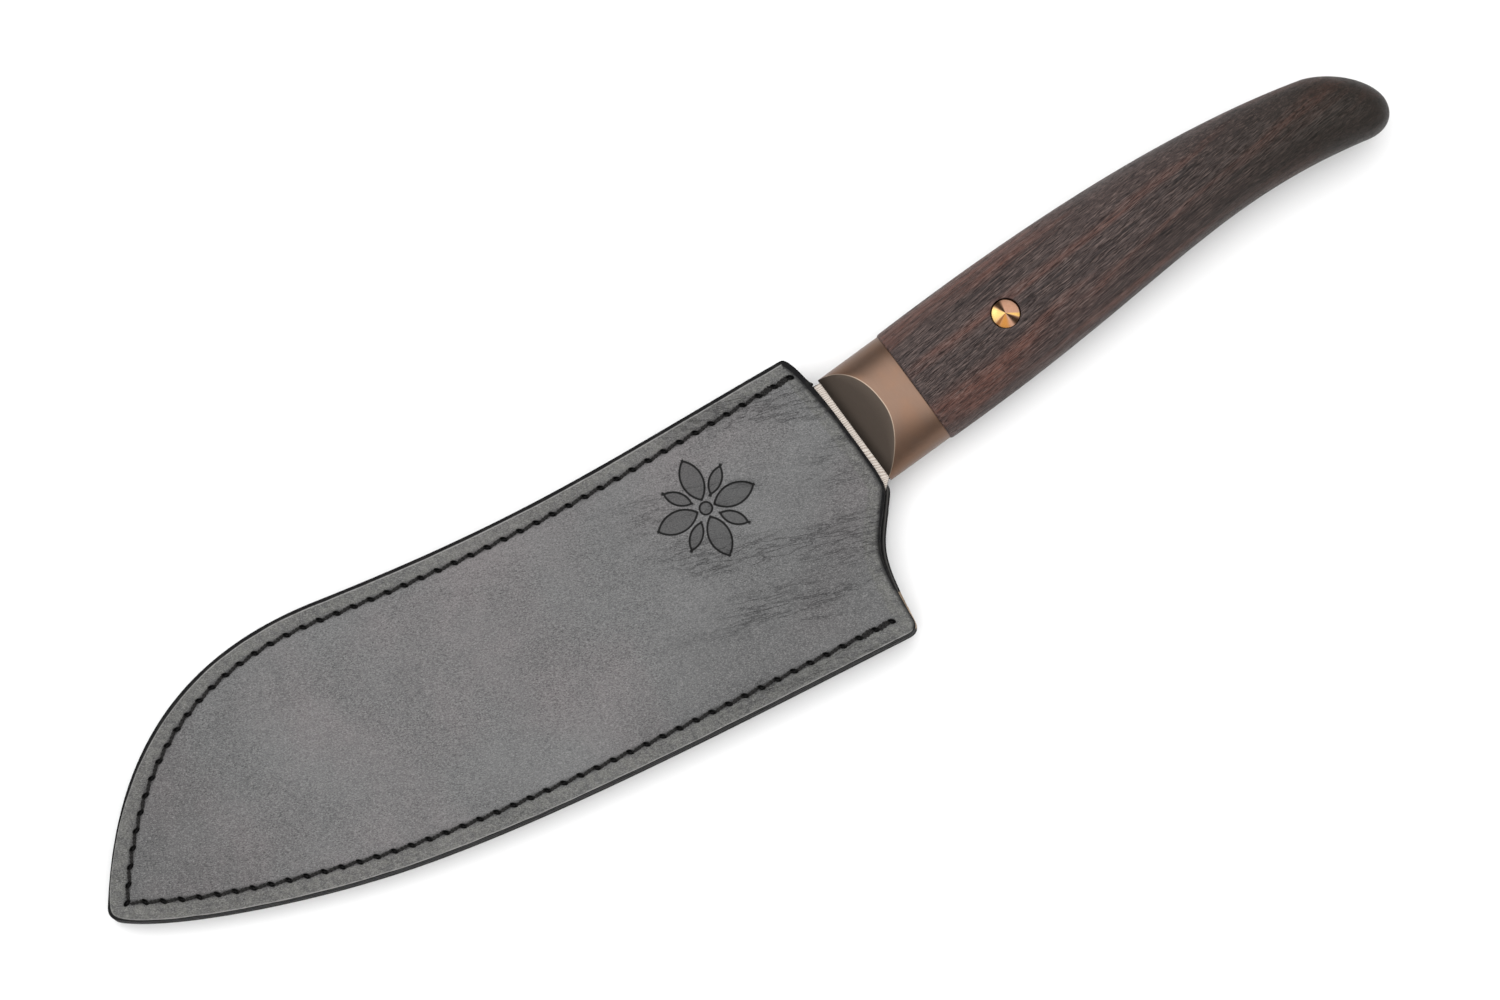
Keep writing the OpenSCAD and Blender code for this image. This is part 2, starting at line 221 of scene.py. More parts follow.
def gap_to(points, path, closed=True):
    return nearest(points, path, closed)[0]


def is_inside(points, outline):
    """Even-odd test of points against a closed outline."""
    x, y = points[:, 0], points[:, 1]
    hit = np.zeros(len(points), bool)
    for a, b in zip(outline, np.roll(outline, -1, axis=0)):
        crosses = (a[1] > y) != (b[1] > y)
        if crosses.any():
            x_at = a[0] + (y - a[1]) * (b[0] - a[0]) / (b[1] - a[1] + 1e-30)
            hit ^= crosses & (x < x_at)
    return hit


def smooth(low, high, value):
    t = np.clip((value - low) / (high - low), 0, 1)
    return t * t * (3 - 2 * t)


def hump(value, width):
    return np.exp(-((value / width) ** 2))


def ripple(points, pitch, seed):
    """A smooth uneven field between about -1 and 1, from a few crossing waves."""
    rng = np.random.default_rng(seed)
    total = np.zeros(len(points))
    for _ in range(6):
        angle = rng.uniform(0, math.tau)
        phase = rng.uniform(0, math.tau)
        stretch = rng.uniform(0.7, 1.5)
        along = points @ [math.cos(angle), math.sin(angle)]
        total += np.sin(math.tau * along / (pitch * stretch) + phase)
    return total / 3


# ---- Outlines of the sheath and the blade, control points as shares of length and height ----

def sheath_pt(u, v):
    return pt(-u * SHEATH_LEN, SHEATH_TOP - SHEATH_H + v * SHEATH_H)


def blade_pt(u, v):
    return pt(-u * BLADE_LEN, SPINE_Y + (v - 1) * BLADE_H)


mouth_top = sheath_pt(0.021, 1)
back_crest = sheath_pt(0.633, 0.982)
toe = sheath_pt(1, 0.358)
belly = sheath_pt(0.689, 0.07)
heel_corner = sheath_pt(0.036, 0.002)
mouth_low = sheath_pt(-0.0082, 0.478)

upper_edge = join(
    bezier(mouth_top, sheath_pt(0.27, 0.961), sheath_pt(0.365, 0.912), back_crest),
    bezier(back_crest, sheath_pt(0.813, 1.029), sheath_pt(0.923, 0.788), toe),
)
lower_edge = join(
    bezier(toe, sheath_pt(0.964, 0.259), sheath_pt(0.814, 0.128), belly),
    bezier(belly, sheath_pt(0.511, -0.013), sheath_pt(0.225, 0.002), heel_corner),
)


def panel_outline(step, pitch):
    """A panel's closed outline, its thumb scoop set back by step."""
    mouth_end = mouth_low + pt(-0.8 * step, 0)
    scoop = bezier(
        heel_corner,
        heel_corner + pt(-0.4 - 1.3 * step, 21.8),
        mouth_low + pt(-7.1 - 1.1 * step, -12.4),
        mouth_end,
    )
    path = join(upper_edge, lower_edge, scoop)
    for corner, reach in ((mouth_top, 3.0), (toe, 2.0), (heel_corner, 2.2), (mouth_end, 1.2)):
        path = rounded(path, corner, reach)
    return even(np.concatenate([path, path[:1]]), pitch)[:-1]


tip = blade_pt(1, 0.365)
heel = blade_pt(0.058, 0.012)
nose_start = blade_pt(0.583, 0.961)


def front_line(h):
    """Point of the bolster's front line, in the knife's frame, at a height above the grip's axis."""
    return pt(-h * math.sin(GRIP_ANGLE), h * math.cos(GRIP_ANGLE))


CHOIL_INSET = 0.65
blade_top = front_line(SPINE_Y / math.cos(GRIP_ANGLE))
blade_low = front_line(CHOIL_INSET - GRIP_H / 2)

nose_curve = bezier(nose_start, blade_pt(0.833, 0.944), blade_pt(0.944, 0.878), tip)[::-1]
edge_curve = bezier(tip, blade_pt(0.906, 0.163), blade_pt(0.528, -0.043), heel)
choil_curve = bezier(heel, heel + pt(0.5, 11.2), heel + pt(4, 17.2), blade_low, 24)
edge_lowest = edge_curve[:, 1].min()


# ---- Stitch line: two runs of holes that start at the toe ----

STITCH_START_X = -6.5
STITCH_END_X = -11.0
TOE_REACH = 2.5


def stitch_runs():
    """The run up round the nose to the mouth and the run along the edge to the heel, both from the toe."""
    to_upper = upper_edge[-6] - toe
    to_lower = lower_edge[6] - toe
    into = to_upper / np.linalg.norm(to_upper) + to_lower / np.linalg.norm(to_lower)
    corner = toe + STITCH_INSET * into
    upper = beside(upper_edge, STITCH_INSET)
    upper = upper[(upper[:, 0] < STITCH_START_X) & (upper[:, 1] > corner[1] + TOE_REACH)]
    lower = beside(lower_edge, STITCH_INSET)
    lower = lower[(lower[:, 0] > corner[0] + TOE_REACH) & (lower[:, 0] < STITCH_END_X)]
    return np.concatenate([[corner], upper[::-1]]), np.concatenate([[corner], lower])


SLIT_ANGLE = math.radians(-36)
upper_run, lower_run = [even(run, 0.25) for run in stitch_runs()]


def run_holes(run):
    """Each hole's centre and the direction of its slanted slit."""
    length = travelled(run)[-1]
    places = np.linspace(0, length, round(length / STITCH_PITCH) + 1)
    centres = at_distances(run, places)
    along = np.stack([np.interp(places, travelled(run), part) for part in tangents(run).T], axis=1)
    across = left_of(along)
    return centres, math.cos(SLIT_ANGLE) * along + math.sin(SLIT_ANGLE) * across


upper_holes, upper_slits = run_holes(upper_run)
lower_holes, lower_slits = run_holes(lower_run)
hole_centres = np.concatenate([upper_holes, lower_holes[1:]])
hole_slits = np.concatenate([upper_slits, lower_slits[1:]])
stitch_line = np.concatenate([upper_run[::-1], lower_run[1:]])


# ---- Objects ----

def put_in_scene(name, data):
    thing = bpy.data.objects.new(name, data)
    bpy.context.scene.collection.objects.link(thing)
    return thing


def add_values(mesh, key, kind, column, values):
    mesh.attributes.new(key, kind, "POINT").data.foreach_set(column, np.asarray(values, np.float32).ravel())


def add_piece(name, points, faces, place, body, nodes, material, sharp_angle=None, values=None):
    """A mesh object from millimetre points, with per-vertex values. It rides on a body and replaces nodes."""
    points = np.asarray(points, float)
    turn = np.array(place.to_3x3())
    mesh = bpy.data.meshes.new(name)
    mesh.from_pydata((points * MM @ turn.T + np.array(place.translation)).tolist(), [], faces)
    add_values(mesh, "mm", "FLOAT_VECTOR", "vector", points)
    for key, column in (values or {}).items():
        add_values(mesh, key, "FLOAT", "value", column)
    tidy = bmesh.new()
    tidy.from_mesh(mesh)
    bmesh.ops.remove_doubles(tidy, verts=tidy.verts, dist=1e-6)
    bmesh.ops.recalc_face_normals(tidy, faces=tidy.faces)
    tidy.to_mesh(mesh)
    tidy.free()
    mesh.polygons.foreach_set("use_smooth", np.ones(len(mesh.polygons), bool))
    if sharp_angle:
        mesh.set_sharp_from_angle(angle=math.radians(sharp_angle))
    mesh.materials.append(material)
    piece = put_in_scene(name, mesh)
    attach(piece, body)
    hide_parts(*nodes)
    return piece


def grid_faces(rows, columns, closed=False, start=0):
    """Quads between rows of points, the last column joined to the first if closed."""
    faces = []
    for i in range(rows - 1):
        for j in range(columns if closed else columns - 1):
            a, b = start + i * columns + j, start + i * columns + (j + 1) % columns
            faces.append((a, b, b + columns, a + columns))
    return faces


def triangles(outline, inner):
    """Triangles over a closed outline and the loose points inside it. Their numbers run outline first."""
    points = np.concatenate([outline, inner])
    n = len(outline)
    edges = [(k, (k + 1) % n) for k in range(n)]
    spots = [Vector(p) for p in points.tolist()]
    _, _, faces, origin, _, _ = delaunay_2d_cdt(spots, edges, [], 1, 1e-7, True)
    faces = np.array([ids[0] for ids in origin])[np.array(faces)]
    doubtful = np.nonzero((faces < n).all(axis=1))[0]
    outside = doubtful[~is_inside(points[faces[doubtful]].mean(axis=1), outline)]
    return [tuple(face) for face in np.delete(faces, outside, axis=0).tolist()]


def lathe(profile, sides=64):
    """Points and faces of a turned shape. The profile is (radius, height) and starts and ends on the axis."""
    inner = profile[1:-1]
    rings = [at_level(r * circle(sides), z) for r, z in inner]
    points = np.concatenate(rings + [[[0, 0, profile[0][1]], [0, 0, profile[-1][1]]]])
    faces = grid_faces(len(inner), sides, closed=True)
    first, last = len(points) - 2, len(points) - 1
    top = (len(inner) - 1) * sides
    for k in range(sides):
        faces.append((first, (k + 1) % sides, k))
        faces.append((last, top + k, top + (k + 1) % sides))
    return points, faces


# ---- Stamp on the front panel: a plain rosette of pointed petals ----

STAMP_AT = pt(-35.5, -1.0)
STAMP_R = 12.2
PETALS = (
    # petals, turn, distance of the middle, half length, half width
    (4, 0.0, 6.6, 4.6, 2.3),
    (4, math.tau / 8, 6.3, 3.1, 1.3),
)
HUB_R = 1.35


def petal_frames():
    for count, turn, middle, half_l, half_w in PETALS:
        for k in range(count):
            angle = turn + math.tau * k / count
            out = pt(math.cos(angle), math.sin(angle))
            yield out, left(out), middle, half_l, half_w


def stamp_distance(points):
    """Signed distance to the rosette's shapes, negative inside a petal or the hub."""
    p = points - STAMP_AT
    best = np.hypot(p[:, 0], p[:, 1]) - HUB_R
    for out, side, middle, half_l, half_w in petal_frames():
        radius = (half_l**2 + half_w**2) / (2 * half_w)
        x = p @ out - middle
        y = np.abs(p @ side)
        best = np.minimum(best, np.hypot(x, y + radius - half_w) - radius)
    return best


def stamp_points():
    """Points that follow the rosette's lines, for a clean edge in the mesh."""
    offsets = (-0.5, -0.3, -0.18, -0.06, 0.06, 0.18, 0.3, 0.5)
    found = []
    for out, side, middle, half_l, half_w in petal_frames():
        radius = (half_l**2 + half_w**2) / (2 * half_w)
        x = np.linspace(-half_l, half_l, int(half_l * 9))
        for offset in offsets:
            y = np.sqrt((radius + offset) ** 2 - x**2) - (radius - half_w)
            for sign in (-1, 1):
                line = STAMP_AT + (middle + x)[:, None] * out + (sign * y)[:, None] * side
                found.append(line[y > 0.02])
    for offset in offsets:
        found.append(STAMP_AT + (HUB_R + offset) * circle(36))
    return np.concatenate(found)


# ---- Leather panels ----

EDGE_ROUND = 0.55
EDGE_DROP = 0.4
CREASE_AT = 1.25
SLIT_HALF_L = 0.92
SLIT_HALF_W = 0.5
RING_DEPTHS = (
    0.05, 0.12, 0.2, 0.3, 0.42, 0.55, 0.68, 0.8, 0.92, 1.05, 1.16, 1.27, 1.4, 1.6, 1.9, 2.3, 2.7, 3.05,
)
TRENCH_ROWS = (0, 0.14, 0.28, 0.42, 0.58, 0.78, 1.05)
STITCH_ZONE = 1.15
# The grid over a face: its pitch, and corners that lie outside any panel
FACE_PITCH = 0.95
FACE_FROM = (-190, -46)
FACE_TO = (4, 22)
STAMP_PITCH = 0.42
STAMP_REACH = 13
FLESH_DEPTHS = (0.3, 0.42, 0.56, 0.8, 1.1, 1.35, 1.6, 1.9)
FLESH_DYED = 1.6


def hole_patch():
    """Points that follow one slit, in its own directions."""
    shares = (0.0, 0.35, 0.62, 0.82, 1.0, 1.2, 1.5, 1.85)
    ring = circle(20) * pt(SLIT_HALF_L, SLIT_HALF_W)
    return np.concatenate([[[0, 0]]] + [ring * share for share in shares[1:]])


def surface_points(outline, stamped):
    """Loose points over a panel's face: rings inside the edge, rows along the stitches, a grid between."""
    rings = [beside(outline, d, closed=True) for d in RING_DEPTHS]
    ring_gap = np.concatenate([np.full(len(r), d) for r, d in zip(rings, RING_DEPTHS)])
    rings = np.concatenate(rings)
    rings = rings[gap_to(rings, outline) > ring_gap - 0.01]
    line = even(stitch_line, 0.45)
    rows = [beside(line, sign * d) for d in TRENCH_ROWS for sign in ((1, -1) if d else (1,))]
    rows = np.concatenate(rows)
    xs = np.arange(FACE_FROM[0], FACE_TO[0], FACE_PITCH)
    ys = np.arange(FACE_FROM[1], FACE_TO[1], FACE_PITCH * math.sqrt(0.75))
    grid = np.stack(np.meshgrid(xs, ys), axis=2)
    grid[1::2, :, 0] += FACE_PITCH / 2
    grid = grid.reshape(-1, 2)
    grid = grid[is_inside(grid, outline)]
    grid = grid[gap_to(grid, outline[::3]) > RING_DEPTHS[-1] + 0.35]
    grid = grid[gap_to(grid, line, closed=False) > STITCH_ZONE + 0.3]
    rings = rings[gap_to(rings, line, closed=False) > STITCH_ZONE]
    patch = hole_patch()
    patches = []
    for centre, slit in zip(hole_centres, hole_slits):
        patches.append(centre + patch[:, :1] * slit + patch[:, 1:] * left(slit))
        rows = rows[local_reach(rows, centre, slit) > 2.0]
    patches = np.concatenate(patches)
    if stamped:
        grid = grid[np.linalg.norm(grid - STAMP_AT, axis=1) > STAMP_R + 0.6]
        steps = np.arange(-STAMP_REACH, STAMP_REACH, STAMP_PITCH)
        fine = np.stack(np.meshgrid(steps, steps), axis=2).reshape(-1, 2)
        fine = fine[np.linalg.norm(fine, axis=1) < STAMP_R + 0.4] + STAMP_AT
        fine = fine[np.abs(stamp_distance(fine)) > 0.6]
        grid = np.concatenate([grid, fine, stamp_points()])
    loose = np.concatenate([rings, rows, patches, grid])
    return loose[is_inside(loose, outline)]


def local_reach(points, centre, slit):
    """How far points are from a slit's centre, where 1 is the slit's own oval edge."""
    p = points - centre
    return np.hypot(p @ slit / SLIT_HALF_L, p @ left(slit) / SLIT_HALF_W)


# The scoop's edge is bare leather between these heights
BARE_FROM = -43.3
BARE_TO = -34.8


def bare_edge(points):
    """Share of bare leather, without edge paint, at each point near the outline."""
    x, y = points[:, 0], points[:, 1]
    return smooth(BARE_TO + 0.3, BARE_TO - 0.3, y) * smooth(BARE_FROM - 0.3, BARE_FROM + 0.3, y) * (x > -12)


def paint_width(points, normals):
    """Width of the painted rim on the face: broad along the spine, the mouth and the toe's corner."""
    x, y = normals.T
    at_mouth = smooth(0.3, 0.9, x)
    height = points[:, 1]
    width = 0.16 + 0.62 * smooth(0.5, 0.9, y) + 0.12 * smooth(0.2, 0.8, -x)
    width += at_mouth * (0.28 + 0.24 * smooth(-28, -12, height) + 0.5 * smooth(0, 15, height))
    width *= 1 - 0.7 * bare_edge(points)
    return width + 0.55 * hump(np.linalg.norm(points - toe, axis=1), 3.2)


def panel_face(points, outline, stamped):
    """Height of a panel's face under its nominal level and the values its material reads, at each point."""
    gap, at = nearest(points, outline)
    rim = -left_of(tangents(outline, closed=True))[at]
    inside_paint = gap - paint_width(points, rim) - 0.04 * ripple(points, 9, 5)
    at_mouth = smooth(0.2, 0.8, rim[:, 0])
    rounding = np.clip(1 - gap / EDGE_ROUND, 0, 1)
    height = -EDGE_DROP * (1 - np.sqrt(1 - rounding**2))
    height -= 0.05 * hump(gap - CREASE_AT, 0.13)
    height += 0.025 * hump(gap - CREASE_AT + 0.3, 0.14)
    line_gap = gap_to(points, stitch_line[::2], closed=False)
    height -= 0.17 * hump(line_gap, 1.7)
    height -= 0.3 * smooth(0.62, 0.2, line_gap)
    pit = np.zeros(len(points))
    for centre, slit in zip(hole_centres, hole_slits):
        close = np.linalg.norm(points - centre, axis=1) < 2.4
        reach = local_reach(points[close], centre, slit)
        pit[close] = np.maximum(pit[close], smooth(1.15, 0.55, reach))
        height[close] += 0.07 * hump(reach - 2.2, 0.75)
        height[close] -= 0.12 * hump(reach, 2.0)
    height -= 0.75 * pit
    body = smooth(0, 14, gap)
    height += 0.07 * body * ripple(points, 55, 11) + 0.03 * body * ripple(points, 17, 12)
    height += 0.012 * ripple(points, 3.1, 13) * smooth(0.4, 2, gap)
    mark = np.zeros(len(points))
    fill = np.zeros(len(points))
    if stamped:
        away = stamp_distance(points)
        mark = hump(away, 0.2)
        fill = smooth(0.05, -0.12, away)
        height -= 0.13 * mark + 0.1 * fill
    return np.minimum(height, 0.0), {
        "painted": smooth(0.05, -0.05, inside_paint),
        # painted highlight: a light line just inside the painted rim, where the rounded edge catches the
        # light
        "edge_highlight": hump(inside_paint - 0.13, 0.09) * (1 - at_mouth) * (1 - 0.6 * smooth(0.2, 0.8, -rim[:, 0])),
        # a soft fade to black, inwards from the painted rim along the mouth
        "mouth_dark_fade": smooth(0.9, 0.0, inside_paint) * at_mouth,
        # painted shade along the stitches' groove
        "groove": hump(line_gap, 0.55),
        "inset": gap,
        "pit": pit,
        "mark": mark,
        "fill": fill,
    }


PAINTED_SHARE = 0.66


def read_all(items, key, kind):
    values = np.empty(len(items), kind)
    items.foreach_get(key, values)
    return values


def paint_faces(piece, material):
    """Gives the faces that lie under the edge paint a second material."""
    mesh = piece.data
    painted = read_all(mesh.attributes["painted"].data, "value", np.float32)
    starts = read_all(mesh.polygons, "loop_start", np.int32)
    sizes = read_all(mesh.polygons, "loop_total", np.int32)
    corners = read_all(mesh.loops, "vertex_index", np.int32)
    share = np.add.reduceat(painted[corners], starts) / sizes
    mesh.materials.append(material)
    mesh.polygons.foreach_set("material_index", (share > PAINTED_SHARE).astype(np.int32))


def add_panel(name, node, outward, step, stamped, material, edge_material):
    """A leather panel. Outward is 1 for the front, whose face is up, and -1 for the back."""
    outline = panel_outline(step, 0.5)
    loose = surface_points(outline, stamped)
    face_points = np.concatenate([outline, loose])
    height, values = panel_face(face_points, outline, stamped)
    n = len(outline)
    points = [np.column_stack([face_points, SHEATH_HALF_T + height])]
    faces = triangles(outline, loose)
    inward = left_of(tangents(outline, closed=True))
    soft = 0.18
    wall = (
        # inset of the wall, level
        (0.0, SHEATH_HALF_T - EDGE_DROP - 0.35),
        (0.0, SHEATH_HALF_T - 1.3),
        (0.0, WELT_T / 2 + 2 * soft),
        (0.25 * soft, WELT_T / 2 + soft),
        (soft, WELT_T / 2),
    )
    previous = np.arange(n)
    total = len(face_points)
    wall_waver = 0.025 * ripple(outline, 6, 21)
    for inset, level in wall:
        ring = outline + inward * (inset + np.where(level > WELT_T / 2, 1, 0) * (0.03 + wall_waver))[:, None]
        points.append(at_level(ring, level))
        current = total + np.arange(n)
        total += n
        faces += [(previous[i], current[i], current[(i + 1) % n], previous[(i + 1) % n]) for i in range(n)]
        previous = current
    inside_rim = outline + inward * soft
    flesh_rings = np.concatenate([beside(outline, d, closed=True) for d in FLESH_DEPTHS])
    flesh_rings = flesh_rings[is_inside(flesh_rings, inside_rim)]
    flesh_rings = flesh_rings[gap_to(flesh_rings, outline) > FLESH_DEPTHS[0] - 0.05]
    flesh_gap = gap_to(flesh_rings, outline)
    points.append(at_level(flesh_rings, WELT_T / 2))
    numbers = np.concatenate([previous, total + np.arange(len(flesh_rings))])
    faces += [tuple(numbers[list(face)].tolist()) for face in triangles(inside_rim, flesh_rings)]
    points = np.concatenate(points)
    extra = len(points) - len(face_points)
    columns = {key: np.concatenate([column, np.zeros(extra)]) for key, column in values.items()}
    last = len(flesh_rings)
    columns["flesh"] = np.zeros(len(points))
    columns["flesh"][-last:] = smooth(FLESH_DYED - 0.4, FLESH_DYED + 0.1, flesh_gap)
    columns["painted"][len(face_points):] = 1.0
    columns["painted"][-last:] = 1 - columns["flesh"][-last:]
    # Painted highlight: a light line along the inner rim of the panel's flesh side
    columns["edge_highlight"][-last:] = 0.6 * hump(flesh_gap - 0.42, 0.14)
    if outward < 0:
        bare = np.concatenate([np.zeros(len(face_points)), bare_edge(points[len(face_points):, :2])])
        columns["flesh"] = np.maximum(columns["flesh"], bare)
        columns["painted"] *= 1 - bare
        columns["edge_highlight"] *= 1 - bare
    points[:, 2] *= outward
    piece = add_piece(name, points, faces, KNIFE, "sheath", [node], material, 50, columns)
    paint_faces(piece, edge_material)
    return piece


# ---- Welts: strips between the sheath's edge and the pocket ----

# The spine's welt is dyed all over where its end shows in the mouth
WELT_DYED_X = -6.0
WELT_SET_BACK = 0.65


def welt_outlines():
    """(outer, inner) paths of the spine's welt and of the edge's welt, each pair running the same way."""
    step = 0.7
    back = panel_outline(0, 0.5)
    nose_in = beside(nose_curve[::-1], -POCKET_GAP)
    low_share = (SHEATH_TOP - SPINE_Y - POCKET_GAP) / (mouth_top[1] - mouth_low[1])
    mouth_in = mouth_top + low_share * (mouth_low - mouth_top) + pt(-WELT_SET_BACK, 0)
    pocket_tip = tip + pt(-1.1, -0.35) * POCKET_GAP
    upper_in = np.concatenate([[mouth_in], nose_in[nose_in[:, 0] > tip[0] - 0.2], [pocket_tip]])
    edge_in = beside(edge_curve, -POCKET_GAP)
    low_y = edge_lowest - POCKET_GAP
    flat_x = -BLADE_LEN / 4
    scoop_in = back[(back[:, 1] > low_y) & (back[:, 1] < -20) & (back[:, 0] > -12)]
    end_in = scoop_in[np.argmin(scoop_in[:, 1])]
    lower_in = np.concatenate([[pocket_tip], edge_in[edge_in[:, 0] < flat_x], [pt(flat_x, low_y)], [end_in]])
    back = np.roll(back, -closest(back, toe), axis=0)
    mouth_start = mouth_in + WELT_SET_BACK * pt(1, 1.4)
    lower_out = back[: closest(back, end_in) + 1]
    upper_out = np.concatenate([back[closest(back, mouth_start):], back[:1]])
    pairs = ((upper_out, upper_in), (lower_out, lower_in))
    return [[even(path, step) for path in pair] for pair in pairs]


def add_welt(name, node, outer, inner, material, edge_material):
    """A strip between two paths. The inner one gets as many points as the outer one, evenly spaced."""
    inner = at_distances(inner, np.linspace(0, travelled(inner)[-1], len(outer)))
    outward = outer - inner
    outward /= np.maximum(np.linalg.norm(outward, axis=1), 1e-6)[:, None]
    half = WELT_T / 2
    soft = 0.16
    groove = 0.03 + 0.03 * ripple(outer, 7, 31)
    upper = [
        # whether on the outer path, how far inside it, level
        (0, 0.0, half),
        (1, soft, half),
        (1, 0.3 * soft, half - 0.4 * soft),
        (1, 0.0, half - 1.4 * soft),
    ]
    lower = [(on_outer, inset, -level) for on_outer, inset, level in reversed(upper)]
    section = upper + [(1, 0.0, 0.0)] + lower
    columns = []
    for on_outer, inset, level in section:
        path = outer - outward * (inset + groove)[:, None] if on_outer else inner
        columns.append(at_level(path, level))
    points = np.stack(columns, axis=1).reshape(-1, 3)
    width = len(section)
    faces = grid_faces(len(outer), width, closed=True)
    last = (len(outer) - 1) * width
    faces.append(tuple(range(width)))
    faces.append(tuple(last + k for k in reversed(range(width))))
    painted = np.tile([float(row[0]) for row in section], (len(outer), 1))
    painted[(outer[:, 0] > WELT_DYED_X) & (outer[:, 1] > 0)] = 1.0
    painted *= 1 - bare_edge(outer)[:, None]
    painted = painted.reshape(-1)
    piece = add_piece(name, points, faces, KNIFE, "sheath", [node], material, 50,
                      {"painted": painted})
    paint_faces(piece, edge_material)
    return piece


# ---- Saddle stitches: two waxed plies twisted round each other ----

PLY_R = 0.245
PLY_OFF = 0.185
TWIST_PITCH = 1.7
THREAD_FLAT = 0.8
THREAD_SINK = 0.3
DIVE = 0.85
DIVE_REACH = 0.3
STITCH_RINGS = 18
PLY_SIDES = 7
# Half the distance between the two threads where a run is sewn twice
BACKSTITCH_GAP = 0.27


def stitch_ends(a, slit_a, b, slit_b):
    """Where a stitch leaves one hole and enters the next: the near ends of the two slits."""
    run = (b - a) / np.linalg.norm(b - a)
    leave = slit_a if slit_a @ run > 0.4 else run
    enter = slit_b if slit_b @ run > 0.4 else run
    return a + 0.62 * SLIT_HALF_L * leave, b - 0.62 * SLIT_HALF_L * enter


def ply_tubes(start, end, level, side, turn, shift=0.0):
    """Points of the two plies of one stitch, as rings round each ply."""
    run = end - start
    length = np.linalg.norm(run)
    along = run / length
    across = left(along)
    t = np.linspace(0, 1, STITCH_RINGS)
    t = t + 0.06 * np.sin(math.tau * t)
    bow = shift * np.sin(math.pi * t)
    centre = start + t[:, None] * run + bow[:, None] * across
    dive = DIVE * (hump(t * length, DIVE_REACH) + hump((1 - t) * length, DIVE_REACH))
    rings = []
    for ply in (0, math.pi):
        twist = turn + ply + math.tau * t * length / TWIST_PITCH
        out = PLY_OFF * np.cos(twist)
        up = PLY_OFF * np.sin(twist)
        around = np.linspace(0, math.tau, PLY_SIDES, endpoint=False)
        wide = out[:, None] + PLY_R * np.cos(around)
        high = (up[:, None] + PLY_R * np.sin(around)) * THREAD_FLAT + (level - dive)[:, None]
        flat = centre[:, None, :] + wide[..., None] * across
        rings.append(np.concatenate([flat, side * high[..., None]], axis=2))
    return rings


def add_stitching(material):
    rng = np.random.default_rng(3)
    points = []
    faces = []
    total = 0
    for side, sink in ((1, THREAD_SINK - 0.04), (-1, THREAD_SINK + 0.12)):
        for holes, slits in ((upper_holes, upper_slits), (lower_holes, lower_slits)):
            last = len(holes) - 2
            for k in range(len(holes) - 1):
                start, end = stitch_ends(holes[k], slits[k], holes[k + 1], slits[k + 1])
                turn = rng.uniform(0, math.tau)
                shift = rng.uniform(-0.05, 0.05)
                runs = [(start, end, shift, 0.0)]
                # the last two stitches of a run are sewn twice
                if k >= last - 1:
                    across = left(end - start) / np.linalg.norm(end - start)
                    off = BACKSTITCH_GAP * across
                    runs = [(start + off, end + off, 0.1, 0.0), (start - off, end - off, -0.1, 0.03)]
                for a, b, bow, lift in runs:
                    level = SHEATH_HALF_T - sink + lift
                    for tube in ply_tubes(a, b, level, side, turn, bow):
                        points.append(tube.reshape(-1, 3))
                        faces += grid_faces(STITCH_RINGS, PLY_SIDES, closed=True, start=total)
                        cap = total + (STITCH_RINGS - 1) * PLY_SIDES
                        faces.append(tuple(total + j for j in reversed(range(PLY_SIDES))))
                        faces.append(tuple(cap + j for j in range(PLY_SIDES)))
                        total += STITCH_RINGS * PLY_SIDES
    points = np.concatenate(points)
    return add_piece("stitching_thread", points, faces, KNIFE, "sheath",
                     ["saddle_stitching"], material)


# ---- Blade ----

EDGE_HALF_T = 0.02
SPINE_ROUND = 0.35
# Height over the edge that the tang is given, well clear of the core and the bevel
TANG_OVER_EDGE = 40.0


def blade_half_thickness(x, height, to_spine):
    """Half the blade's thickness from its place along the blade and its distances to edge and spine."""
    full = (TIP_T + (BLADE_T - TIP_T) * np.clip((x + BLADE_LEN) / BLADE_LEN, 0, 1)) / 2
    ground = BEVEL_HALF_T + (full - BEVEL_HALF_T) * np.clip(height / (FLAT_SHARE * BLADE_H), 0, 1)
    bevel = EDGE_HALF_T + (BEVEL_HALF_T - EDGE_HALF_T) * np.clip(height / BEVEL_W, 0, 1)
    half = np.where(height < BEVEL_W, bevel, ground)
    corner = np.clip(1 - to_spine / SPINE_ROUND, 0, 1)
    return half - np.minimum(0.22, 0.4 * half) * (1 - np.sqrt(1 - corner**2))


